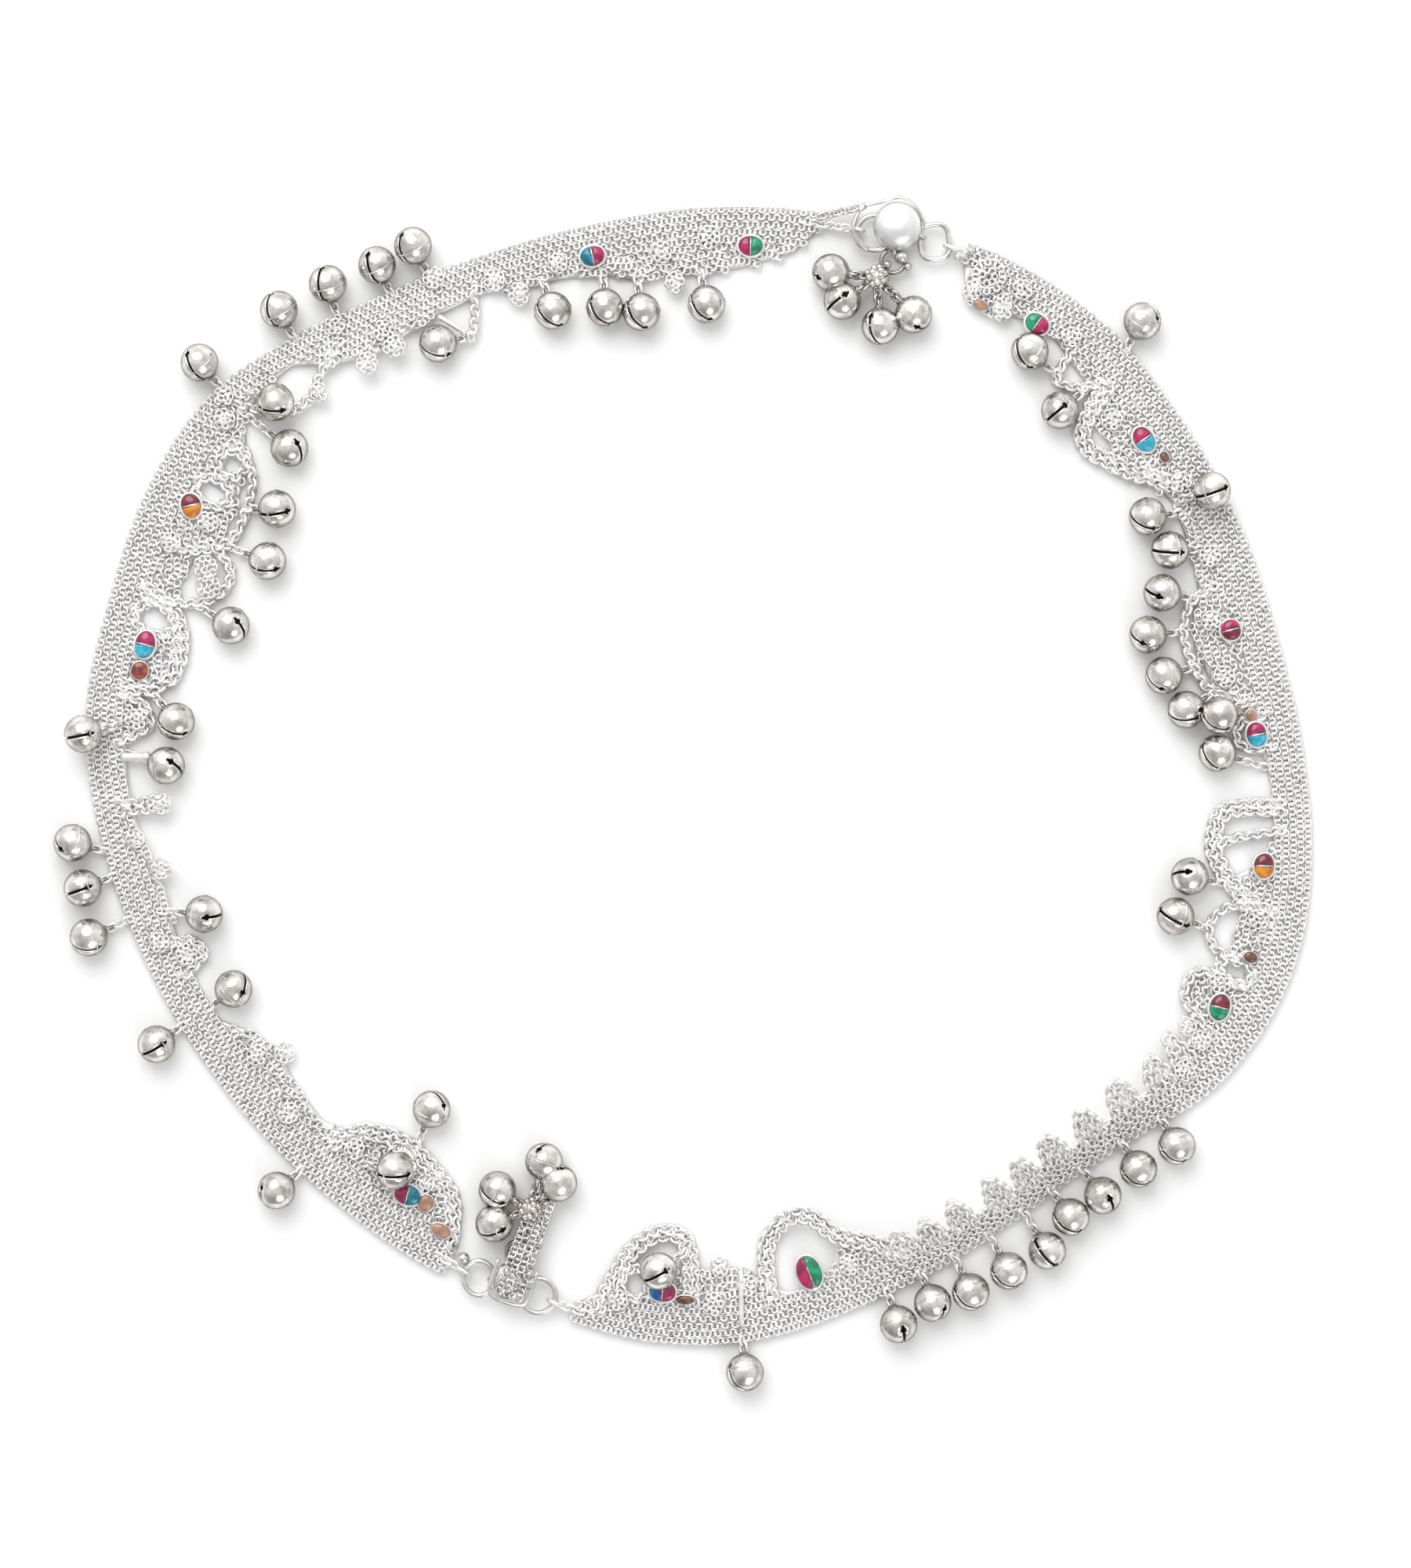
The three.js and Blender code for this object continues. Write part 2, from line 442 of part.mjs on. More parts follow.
// A chain laid along a smooth path of station and depth pairs, flat below and crowned above.
function stroke(sections, { chain, path }) {
  const curve = new THREE.CatmullRomCurve3(path.map(([at, out]) => new THREE.Vector3(at, out, 0)));
  const steps = path.length > 2 ? Math.round(1.6 * (path.length - 1)) : 1;
  const marks = curve.getPoints(steps);
  const spots = marks.map((mark) => place(sections, mark.x, mark.y, MOTIF_LIFT));
  const rings = spots.map((spot, index) => {
    const { face } = stationFrame(sections, marks[index].x);
    const before = spots[Math.max(index - 1, 0)];
    const after = spots[Math.min(index + 1, steps)];
    const side = after.clone().sub(before).normalize().cross(face);
    const profile = [[-0.5, 0], [0.5, 0], [0.4, 1], [-0.4, 1]];
    return profile.map(([across, rise]) => spot.clone()
      .addScaledVector(side, across * chain)
      .addScaledVector(face, rise * MOTIF_THICKNESS));
  });
  return solid(loft(rings, false));
}

// A flat piece with an outline of station and depth pairs, narrowed a little towards its top.
function plate(sections, outline, top) {
  const middle = outline.reduce(([at, out], point) => [
    at + point[0] / outline.length, out + point[1] / outline.length], [0, 0]);
  const rings = [[MOTIF_LIFT, 1], [top, 0.8]].map(([rise, spread]) => outline.map(([at, out]) => place(
    sections, middle[0] + (at - middle[0]) * spread, middle[1] + (out - middle[1]) * spread, rise)));
  return solid(loft(rings, false));
}

function stationShare(length) {
  return THREE.MathUtils.radToDeg(length / LOOP_RADIUS);
}

function tooth(sections, { at, tall }) {
  const half = stationShare(TOOTH_WIDTH) / 2;
  const foot = readSections(sections, at, 'wide') - 0.25;
  const tip = foot + 0.25 + (tall * TOOTH_HEIGHT) / BAND_WIDTH;
  const shoulder = foot + (tip - foot) * 0.55;
  const outline = [
    [at - half, foot], [at - 0.8 * half, shoulder], [at, tip], [at + 0.8 * half, shoulder], [at + half, foot],
  ];
  return plate(sections, outline, MOTIF_LIFT + MOTIF_THICKNESS);
}

function knob(sections, { at, out, size }) {
  const outline = [];
  for (let step = 0; step < KNOB_SIDES; step += 1) {
    const turn = (step / KNOB_SIDES) * 2 * Math.PI;
    const reach = (size * KNOB_DIAMETER) / 2;
    outline.push([at + stationShare(reach) * Math.cos(turn), out + (reach / BAND_WIDTH) * Math.sin(turn)]);
  }
  return plate(sections, outline, MOTIF_LIFT + MOTIF_THICKNESS);
}

// A straight hole through the silver, its outline an oval across the band's face.
function pierce(sections, { at, out, long, deep }) {
  const { along, across, face } = stationFrame(sections, at);
  const foot = place(sections, at, out, -BAND_THICKNESS);
  const rings = [0, 3 * BAND_THICKNESS].map((rise) => {
    const outline = [];
    for (let step = 0; step < WINDOW_SIDES; step += 1) {
      const turn = (step / WINDOW_SIDES) * 2 * Math.PI;
      outline.push(foot.clone()
        .addScaledVector(along, (long * WINDOW_SIZE * Math.cos(turn)) / 2)
        .addScaledVector(across, (deep * WINDOW_SIZE * Math.sin(turn)) / 2)
        .addScaledVector(face, rise));
    }
    return outline;
  });
  return solid(loft(rings, false));
}

// Where a bell and its link lie, worked out from the link's root on the silver.
function bellPose(sections, { at, out, lean, link, raised }) {
  const { along, inwards } = stationFrame(sections, at);
  const floor = raised ? BAND_THICKNESS : 0;
  const lift = raised ? LINK_CLEARANCE : 0;
  const root = place(sections, at, out, BAND_THICKNESS / 2);
  const away = inwards.clone().multiplyScalar(Math.cos(radians(lean)))
    .addScaledVector(along, Math.sin(radians(lean)));
  const height = floor + lift + bellRadius;
  const drop = height - floor - linkHeight;
  const level = Math.sqrt(linkStandoff ** 2 - drop ** 2);
  const hold = root.clone().addScaledVector(away, link * LINK_LENGTH).setZ(floor + linkHeight);
  const centre = hold.clone().addScaledVector(away, level).setZ(height);
  const axis = hold.clone().sub(centre).normalize();
  const side = away.clone().cross(UP);
  return { root, hold, centre, axis, side };
}

// A bell's shell, with a facet square to the axis that its eye or stem lies on.
function bellBody(centre, axis, side) {
  const geometry = new THREE.SphereGeometry(bellRadius, BELL_SIDES, BELL_LEVELS);
  geometry.rotateY(Math.PI / BELL_SIDES);
  geometry.applyMatrix4(new THREE.Matrix4().makeBasis(axis, axis.clone().cross(side).negate(), side));
  geometry.translate(centre.x, centre.y, centre.z);
  return solid(geometry);
}

// The loop on top of a bell, standing on edge around the end of its link.
function bellEye({ hold, axis, side }) {
  const rise = axis.clone().cross(side);
  const corner = (forward, up) => hold.clone()
    .addScaledVector(axis, forward * linkReach)
    .addScaledVector(rise, up * linkReach);
  const sunk = -(linkStandoff - bellRadius) / linkReach - 0.6;
  const path = [corner(sunk, 0.8), corner(0.9, 1), corner(0.9, -1), corner(sunk, -0.8)];
  return wire(path, LINK_WIRE, side);
}

// The link soldered to the silver, lying flat through the bell's eye.
function bellLink({ root, hold, side }) {
  const back = root.clone().sub(hold).normalize();
  const corner = (backwards, sideways) => hold.clone()
    .addScaledVector(back, backwards * linkReach)
    .addScaledVector(side, sideways * linkReach);
  const path = [
    root.clone().addScaledVector(side, linkReach), corner(0, 0.9),
    corner(0, -0.9), root.clone().addScaledVector(side, -linkReach),
  ];
  return wire(path, LINK_WIRE, back.clone().cross(side));
}

function bell(pose) {
  return bellBody(pose.centre, pose.axis, pose.side).add(bellEye(pose));
}

// Bells strung side by side on a wire through their middles.
function bellRow(sections, row) {
  const poses = row.map((entry) => bellPose(sections, entry));
  const bodies = poses.map((pose, index) => (
    row[index].tied ? bell(pose) : bellBody(pose.centre, pose.axis, pose.side)));
  const strings = poses.slice(1).map((pose, index) => rod(poses[index].centre, pose.centre, STRING_WIRE));
  return join([...bodies, ...strings]);
}

// The seat is a short tongue of the same height as the band, under the stone's middle.
function seat(sections, { at, out }) {
  const half = stationShare(STONE_DIAMETER) * 0.35;
  const end = out + (STONE_DIAMETER * 0.35) / BAND_WIDTH;
  const outline = [[at - half, 0.5], [at - half, end], [at + half, end], [at + half, 0.5]];
  return plate(sections, outline, BAND_THICKNESS);
}

// A low stone with a flat table, stretched along its length.
function stone(sections, { at, out, turn, long }) {
  const { along, inwards, face } = stationFrame(sections, at);
  const foot = place(sections, at, out, BAND_THICKNESS + CLEARANCE);
  const spin = radians(turn);
  const lengthwise = along.clone().multiplyScalar(Math.cos(spin)).addScaledVector(inwards, Math.sin(spin));
  const widthwise = face.clone().cross(lengthwise);
  const levels = [[0, 1], [0.45, 1], [1, STONE_TABLE]];
  const rings = levels.map(([rise, spread]) => {
    const points = [];
    for (let step = 0; step < STONE_FACETS; step += 1) {
      const angle = ((step + 0.5) / STONE_FACETS) * 2 * Math.PI;
      const reach = (spread * STONE_DIAMETER) / 2;
      points.push(foot.clone()
        .addScaledVector(lengthwise, reach * long * Math.cos(angle))
        .addScaledVector(widthwise, reach * Math.sin(angle))
        .addScaledVector(face, rise * STONE_HEIGHT));
    }
    return points;
  });
  return solid(loft(rings, false));
}

function claspSpot({ at, out }, height) {
  return place(leftSections, at, out, 0).setZ(height);
}

// Where a standing eye holds a flat ring, on the side of the ring that faces a target.
function eyeSpot(ringCentre, target, ringDiameter) {
  const towards = target.clone().sub(ringCentre).setZ(0).normalize();
  return { centre: ringCentre.clone().addScaledVector(towards, ringDiameter / 2), towards };
}

function standingEye({ centre, towards }) {
  return ring(centre, 2 * eyeRadius, EYE_WIRE, BELL_SIDES, towards);
}

// The end of a band: a chain neck and a standing eye around the clasp's ring.
function bandEnd(sections, at, ringSpot) {
  const ringCentre = claspSpot(ringSpot, ringHeight);
  const wide = readSections(sections, at, 'wide');
  const tail = place(sections, at, wide / 2, BAND_THICKNESS / 2);
  const spot = eyeSpot(ringCentre, tail, RING_DIAMETER);
  const neckStart = spot.centre.clone().addScaledVector(spot.towards, eyeRadius);
  const inset = place(sections, at + Math.sign((sections[0].at + sections.at(-1).at) / 2 - at), wide / 2,
    BAND_THICKNESS / 2);
  return standingEye(spot).add(rod(neckStart, inset, EYE_WIRE * 1.6));
}

// The middle of a clasp: a round body over both rings, with an eye under it for each of them.
function claspMiddle(clasp, diameter, height) {
  const centre = claspSpot(clasp.middle, ringHeight);
  const eyes = [
    eyeSpot(claspSpot(clasp.leftRing, ringHeight), centre, RING_DIAMETER),
    eyeSpot(claspSpot(clasp.rightRing, ringHeight), centre, RING_DIAMETER),
    eyeSpot(claspSpot(clasp.clusterRing, ringHeight), centre, CLUSTER_RING_DIAMETER),
  ];
  const radius = diameter / 2;
  const profile = [[0, 0], [0.9, 0], [1, 0.25], [0.8, 0.72], [0.4, 0.96], [0, 1]]
    .map(([across, rise]) => new THREE.Vector2(across * radius, rise * height));
  const geometry = new THREE.LatheGeometry(profile, BELL_SIDES + 2);
  geometry.rotateX(Math.PI / 2);
  geometry.translate(centre.x, centre.y, plateBase);
  return join([solid(geometry), ...eyes.map(standingEye)]);
}

function clusterRing(clasp) {
  return ring(claspSpot(clasp.clusterRing, ringHeight), CLUSTER_RING_DIAMETER, EYE_WIRE, BELL_SIDES, null);
}

// Bells on short stems around one knot of chain, which hangs from a ring of the clasp.
function cluster(clasp, { knot, bells }) {
  const knotCentre = claspSpot(knot, bellRadius);
  const holder = claspSpot(clasp.clusterRing, ringHeight);
  const { centre: ringEdge } = eyeSpot(holder, knotCentre, CLUSTER_RING_DIAMETER);
  const knotBody = new THREE.SphereGeometry(KNOT_DIAMETER / 2, BELL_SIDES, BELL_LEVELS);
  knotBody.rotateX(Math.PI / 2);
  knotBody.translate(knotCentre.x, knotCentre.y, knotCentre.z);
  const pieces = [clusterRing(clasp), solid(knotBody), rod(ringEdge, knotCentre, STRING_WIRE * 1.5)];
  for (const spot of bells) {
    const centre = claspSpot(spot, bellRadius);
    const axis = knotCentre.clone().sub(centre).normalize();
    const side = axis.clone().cross(UP).normalize();
    pieces.push(bellBody(centre, axis, side), rod(centre, knotCentre, STRING_WIRE));
  }
  return join(pieces);
}

const anklet = new THREE.Group();

function addPiece(name, shape, finish) {
  const { vertProperties, triVerts } = shape.getMesh();
  const geometry = new THREE.BufferGeometry();
  geometry.setAttribute('position', new THREE.BufferAttribute(vertProperties, 3));
  geometry.setIndex(new THREE.BufferAttribute(triVerts, 1));
  geometry.computeVertexNormals();
  const mesh = new THREE.Mesh(geometry, new THREE.MeshStandardMaterial(finish));
  mesh.name = name;
  anklet.add(mesh);
}

// One chain length: the band with everything that is soldered to it.
function addLength(name, sections, { strokes, knobs, points, windows, stones, bells, rows, ends }) {
  const links = [...bells, ...rows.flat().filter((entry) => entry.tied)];
  const worked = join([
    band(sections),
    ...strokes.map((entry) => stroke(sections, entry)),
    ...knobs.map((entry) => knob(sections, entry)),
    ...points.map((entry) => tooth(sections, entry)),
  ]);
  const pierced = windows.reduce((whole, entry) => whole.subtract(pierce(sections, entry)), worked);
  addPiece(name, join([
    pierced,
    ...stones.map((entry) => seat(sections, entry)),
    ...links.map((entry) => bellLink(bellPose(sections, entry))),
    ...ends.map(({ at, ringSpot }) => bandEnd(sections, at, ringSpot)),
  ]), SILVER);
  for (const entry of bells) addPiece(entry.name, bell(bellPose(sections, entry)), POLISHED);
  for (const entry of stones) addPiece(entry.name, stone(sections, entry), entry.finish);
}

addLength('band_left', leftSections, {
  strokes: leftStrokes,
  knobs: leftKnobs,
  points: [],
  windows: leftWindows,
  stones: leftStones,
  bells: leftBells,
  rows: [topPair],
  ends: [
    { at: leftSections[0].at, ringSpot: topClasp.leftRing },
    { at: leftSections.at(-1).at, ringSpot: bottomClasp.leftRing },
  ],
});
addLength('band_right', rightSections, {
  strokes: rightStrokes,
  knobs: rightKnobs,
  points: teeth,
  windows: rightWindows,
  stones: rightStones,
  bells: rightBells,
  rows: [innerRow, outerRow],
  ends: [
    { at: rightSections[0].at, ringSpot: bottomClasp.rightRing },
    { at: rightSections.at(-1).at, ringSpot: topClasp.rightRing },
  ],
});
addPiece('bell_pair_top', bellRow(leftSections, topPair), POLISHED);
addPiece('bell_row_inner', bellRow(rightSections, innerRow), POLISHED);
addPiece('bell_row_outer', bellRow(rightSections, outerRow), POLISHED);

for (const [name, spot] of [
  ['ring_top_left', topClasp.leftRing],
  ['ring_top_right', topClasp.rightRing],
  ['ring_bottom_left', bottomClasp.leftRing],
  ['ring_bottom_right', bottomClasp.rightRing],
]) {
  addPiece(name, ring(claspSpot(spot, ringHeight), RING_DIAMETER, RING_WIRE, RING_SIDES, null), POLISHED);
}
addPiece('clasp_dome_top', claspMiddle(topClasp, DOME_DIAMETER, DOME_HEIGHT), POLISHED);
addPiece('clasp_plate_bottom', claspMiddle(bottomClasp, PLATE_DIAMETER, PLATE_HEIGHT), POLISHED);
addPiece('bell_cluster_top', cluster(topClasp, topCluster), POLISHED);
addPiece('bell_cluster_bottom', cluster(bottomClasp, bottomCluster), POLISHED);

// The origin is the middle of the anklet's footprint, on the surface that it rests on.
const middle = new THREE.Box3().setFromObject(anklet).getCenter(new THREE.Vector3());
anklet.position.set(-middle.x, -middle.y, 0);

export default anklet;
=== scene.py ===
import math
import random

import bmesh
import bpy
from mathutils import Matrix, Vector


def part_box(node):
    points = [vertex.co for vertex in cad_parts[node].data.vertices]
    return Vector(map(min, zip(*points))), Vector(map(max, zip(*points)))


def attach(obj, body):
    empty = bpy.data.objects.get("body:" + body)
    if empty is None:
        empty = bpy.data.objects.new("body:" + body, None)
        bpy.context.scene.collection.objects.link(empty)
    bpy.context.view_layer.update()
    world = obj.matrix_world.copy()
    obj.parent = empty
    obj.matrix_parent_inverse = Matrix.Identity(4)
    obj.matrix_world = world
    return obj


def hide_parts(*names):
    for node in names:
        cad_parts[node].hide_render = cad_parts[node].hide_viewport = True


# Payal anklet: two bell-hung lengths of worked silver chain, hooked end to end and lying as a loop.
# Stations are degrees round the middle of the loop, and "out" is how far a point lies from the
# smooth outer edge towards the middle, as a share of the band's width, as in the solids.

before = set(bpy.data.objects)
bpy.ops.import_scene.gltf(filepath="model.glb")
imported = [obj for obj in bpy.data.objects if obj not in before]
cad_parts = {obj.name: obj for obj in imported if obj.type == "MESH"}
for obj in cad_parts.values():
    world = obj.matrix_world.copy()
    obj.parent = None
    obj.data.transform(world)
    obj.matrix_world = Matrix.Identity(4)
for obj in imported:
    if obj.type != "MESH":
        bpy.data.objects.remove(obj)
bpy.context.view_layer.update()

MM = 0.001
LOOP_RADIUS = 85 * MM
BAND_WIDTH = 6.2 * MM
BAND_THICKNESS = 1.5 * MM
BELL_RADIUS = 2.7 * MM
LINK_WIRE = 0.45 * MM
LINK_CLEARANCE = 0.25 * MM
LINK_LENGTH = 2.4 * MM
RING_RADIUS = 2.5 * MM
RING_WIRE = 0.85 * MM
STONE_RADIUS = 1.3 * MM
TOOTH_WIDTH = 3.6 * MM
TOOTH_HEIGHT = 4.4 * MM
KNOB_RADIUS = 1.5 * MM
WINDOW_SIZE = 3 * MM
EYE_WIRE = 0.6 * MM
EYE_RADIUS = (RING_WIRE + EYE_WIRE) / 2 + 0.3 * MM
link_reach = LINK_WIRE + LINK_CLEARANCE
link_standoff = BELL_RADIUS + LINK_WIRE / 2 + LINK_CLEARANCE
link_height = 1.35 * link_reach + (LINK_WIRE + LINK_CLEARANCE) / 2
SINGLE, DOUBLE = 1, 2
RAISED = True
UP = Vector((0, 0, 1))
dice = random.Random(7)

ROUTE = [
    (0, 1.043), (12, 1.022), (24, 1.022), (36, 1.026), (48, 1.034), (60, 1.02), (69, 0.99),
    (77, 0.974), (88, 0.958), (100, 0.943), (112, 0.944), (124, 0.962), (134, 1.003), (142, 1.034),
    (152, 1.037), (163, 1.026), (175, 1.027), (187, 1), (200, 0.974), (215, 0.953), (230, 0.944),
    (243, 0.948), (250, 0.946), (257, 0.95), (266, 0.966), (276, 0.968), (288, 0.947),
    (302, 0.931), (313, 0.937), (321, 0.972), (329, 1.036), (337, 1.068), (345, 1.075),
    (353, 1.061),
]
# Station, width as a share of the band's width, and turn of the inner edge upwards.
LEFT = [
    (77, 0.55, 0), (79, 1.05, 0), (82, 1.3, 0), (85, 1.5, 0), (90, 1.58, 0), (97, 1.55, 0),
    (99.5, 1.33, 0), (104, 1.15, 0), (110, 1.1, 0), (113, 0.92, 0), (119, 1, 6), (126, 1.25, 8),
    (130, 1.05, 6), (134, 0.6, 3), (139, 0.85, 0), (142, 1.25, 0), (145, 1.8, 0), (149, 2.05, 0),
    (154, 2.1, 0), (158, 1.65, 0), (161, 1.5, 0), (164, 1.7, 0), (168, 1.85, 0), (171, 1.5, 0),
    (173, 1.05, 0), (178, 1, 0), (184, 0.9, 6), (191, 1.1, 6), (200, 0.95, 0), (208, 0.9, 0),
    (211.5, 1.45, 0), (215, 1.6, 0), (219, 1.4, 0), (224, 1.3, 0), (228, 1.75, 0), (233, 2, 0),
    (237.5, 2, 0), (240.5, 1.75, 0), (243.5, 0.7, 0),
]
RIGHT = [
    (258, 0.55, 0), (260, 0.95, 0), (262.5, 1.55, 0), (266, 1.85, 0), (270, 1.8, 0),
    (276.5, 1.8, 0), (279, 1.35, 0), (281, 0.95, 0), (285, 0.85, 4), (288.5, 1.6, 8),
    (292, 1.3, 15), (294.5, 0.95, 22), (297, 0.85, 30), (304, 0.85, 40), (316, 0.9, 40),
    (323, 0.95, 28), (329, 1.15, 8), (332, 1.5, 2), (334, 1.95, 0), (338, 1.9, 0), (341, 1.6, 0),
    (346, 1.6, 0), (348.5, 2, 0), (350, 1.9, 0), (351.5, 1.2, 0), (354, 0.95, 0), (359, 0.9, 0),
    (362, 1, 0), (366, 1.4, 0), (369, 1.75, 0), (374, 2, 0), (377, 1.85, 0), (379, 1.55, 0),
    (383, 1.4, 0), (389, 1.25, 0), (392.5, 1.5, 0), (396, 1.8, 0), (400, 1.75, 0), (403, 1.35, 0),
    (406, 1.3, 0), (412, 1, 0), (415.3, 1.2, 0), (417.5, 1.38, 0), (419.7, 1.42, 0),
    (421.2, 1.05, 0), (422, 0.6, 0),
]
# Chain motifs: how many chains lie side by side, and the path of station and depth.
LEFT_STROKES = [
    (SINGLE, [(114, 0.7), (114.8, 1.3), (116, 1.7)]),
    (SINGLE, [(128.5, 0.6), (131.5, 1.05), (134, 1.45), (137.5, 1.35), (140.5, 0.6)]),
    (SINGLE, [(145, 1.1), (144.5, 1.6), (145.8, 2), (149, 2.25), (153, 2.3), (156, 1.8), (157, 0.9)]),
    (SINGLE, [(155, 1.9), (157, 2.5), (159.5, 2.5), (161.5, 2), (162.5, 0.9)]),
    (DOUBLE, [(161.5, 0.7), (163.1, 1.55), (166, 1.9), (169.2, 1.85), (171, 1.4), (171.5, 0.7)]),
    (SINGLE, [(172, 0.7), (173, 1.3), (175.5, 1.5), (177.5, 0.7)]),
    (DOUBLE, [(184, 0.6), (184.4, 1.5)]),
    (SINGLE, [(198.5, 0.6), (199.3, 1.2), (201.3, 1.25), (202.3, 0.6)]),
    (DOUBLE, [(226, 0.9), (227.5, 1.6), (230.2, 1.95), (233.5, 2.1), (237.2, 1.95), (241, 1.6),
              (243, 0.7)]),
]
RIGHT_STROKES = [
    (DOUBLE, [(260, 0.5), (261.4, 1.75), (263.6, 2.35), (267, 2.55), (269.4, 2.25), (270, 1)]),
    (DOUBLE, [(279, 0.8), (280, 1.9), (282.2, 2.38), (285, 2.55), (287, 2.3), (288.4, 1.75),
              (292, 1.3), (294, 0.7)]),
    (SINGLE, [(332.5, 0.9), (333.5, 1.85), (336.1, 2.1), (338, 1.85), (338.6, 0.9)]),
    (SINGLE, [(340.6, 1.3), (341.2, 1.9), (343, 2.15), (345, 2.1), (346.6, 1.8), (347, 1.3)]),
    (DOUBLE, [(357, 0.7), (357.3, 1.75), (356.3, 2.15), (353.2, 2.3), (350.5, 2.05), (348.2, 1.6),
              (346.2, 0.8)]),
    (SINGLE, [(353.6, 2.1), (354.2, 1.7), (354.8, 0.7)]),
    (SINGLE, [(362.8, 0.7), (363, 1.25), (364.3, 1.5), (365.8, 1.3), (366, 0.7)]),
    (SINGLE, [(368, 1.1), (369.5, 1.8), (372, 2.05), (375.5, 2.1), (378.5, 1.75), (379.5, 1.1)]),
    (DOUBLE, [(402.5, 1), (401, 1.9), (398.8, 2.2), (396.2, 1.95), (393.4, 1.55), (390.5, 0.9)]),
    (SINGLE, [(408, 0.9), (407, 1.7), (404.5, 1.5), (403, 0.9)]),
]
TEETH = [
    (294.6, 0.6), (297.8, 0.8), (301.4, 1), (306, 1.1), (309.6, 1), (313.2, 1.1), (317.3, 1.1),
    (321.3, 1.1), (325, 0.9), (328.3, 0.9),
]
LEFT_KNOBS = [
    (92.5, 1.7, 1), (109.5, 1.15, 1.1), (123.8, 1.25, 1), (126.8, 1.35, 1), (184.4, 1.55, 1.1),
    (191, 1.2, 1), (215.2, 1.65, 1),
]
RIGHT_KNOBS = [(273.6, 1.8, 1), (331.3, 1.5, 0.9), (416.3, 1.18, 0.9)]
# Windows pierced through the silver: station, depth, and size along and across as shares of WINDOW_SIZE.
LEFT_WINDOWS = [
    (145.7, 1.42, 1.2, 0.6), (149.7, 1.4, 0.75, 1.1), (164, 1.15, 0.85, 1.3),
    (233.2, 1.75, 0.65, 0.5),
]
RIGHT_WINDOWS = [(263.2, 1.25, 0.9, 0.8), (339.6, 1.22, 0.7, 0.95)]
# Bells: name, station, depth, lean, length of the link, and RAISED where the bell lies on the band.
LEFT_BELLS = [
    ("bell_left_01", 89.5, 1.35, -6, 1.25), ("bell_left_04", 106.6, 1, -2, 0.8),
    ("bell_left_05", 116, 1.7, 98, 0.85), ("bell_left_06", 117.7, 0.1, 175, 0.95),
    ("bell_left_07", 122, 0.1, 180, 0.75), ("bell_left_08", 127.8, 0.1, -171, 0.95),
    ("bell_left_09", 132.4, 0.1, -177, 0.8), ("bell_left_10", 140.6, 0.1, -179, 0.8),
    ("bell_left_11", 138.6, 0.5, -27, 0.8, RAISED), ("bell_left_12", 140.6, 0.75, -11, 2.6),
    ("bell_left_13", 149.6, 2.2, -28, 0.9), ("bell_left_14", 154.6, 2.1, -2, 1.85),
    ("bell_left_15", 161.7, 1.95, 14, 1.4), ("bell_left_16", 171.2, 1.4, 39, 1.4),
    ("bell_left_17", 178.4, 0.85, 22, 1.6), ("bell_left_18", 175.5, 0.8, 164, 0.95, RAISED),
    ("bell_left_19", 187.9, 0.1, -150, 1), ("bell_left_20", 190.2, 0.1, 175, 0.85),
    ("bell_left_21", 194.7, 0.1, 177, 1.5), ("bell_left_22", 195, 0.75, 25, 1.65),
    ("bell_left_23", 206.5, 0.7, -6, 1), ("bell_left_24", 206.5, 0.1, 175, 0.75),
    ("bell_left_25", 225.7, 0.1, -172, 0.75), ("bell_left_26", 233.6, 2.15, -14, 1.4),
    ("bell_left_27", 230, 1.1, 60, 1, RAISED),
]
RIGHT_BELLS = [
    ("bell_right_01", 406.8, 1.6, 84, 1.2), ("bell_right_02", 403.7, 1.3, 3, 1.1),
    ("bell_right_03", 404.1, 0.1, 162, 0.75), ("bell_right_04", 389.1, 1.1, -166, 0.9, RAISED),
    ("bell_right_13", 349.2, 1.95, 7, 1.15), ("bell_right_14", 343.2, 2.1, 3, 1.2),
    ("bell_right_25", 275.4, 0.1, -175, 0.8),
    ("bell_right_26", 269.4, 2.2, -125, 0.95, RAISED),
]
TOP_PAIR = [(96.6, 1.38, 3, 1.1), (100.1, 1.25, 9, 0.75)]
INNER_ROW = [
    (387.7, 1.1, 20, 1), (383.4, 1, 20, 0.95), (378.7, 1.5, 26, 1.15),
    (375.9, 2.05, 11, 1.1), (372.2, 1.95, 0, 1.05), (369.4, 1.7, -16, 1),
    (367.7, 1, -10, 1.05, RAISED), (360.8, 0.85, 22, 2.1),
]
OUTER_ROW = [
    (323.6, 0.2, 178, 0.85), (319.4, 0.2, 180, 0.85), (314.7, 0.2, 176, 1),
    (310.9, 0.2, -179, 0.95), (307.3, 0.2, -175, 1.75), (302.9, 0.2, -175, 1.45),
    (298.7, 0.2, -173, 1.35), (294.9, 0.2, -171, 0.85), (290.9, 0.15, -173, 1),
]
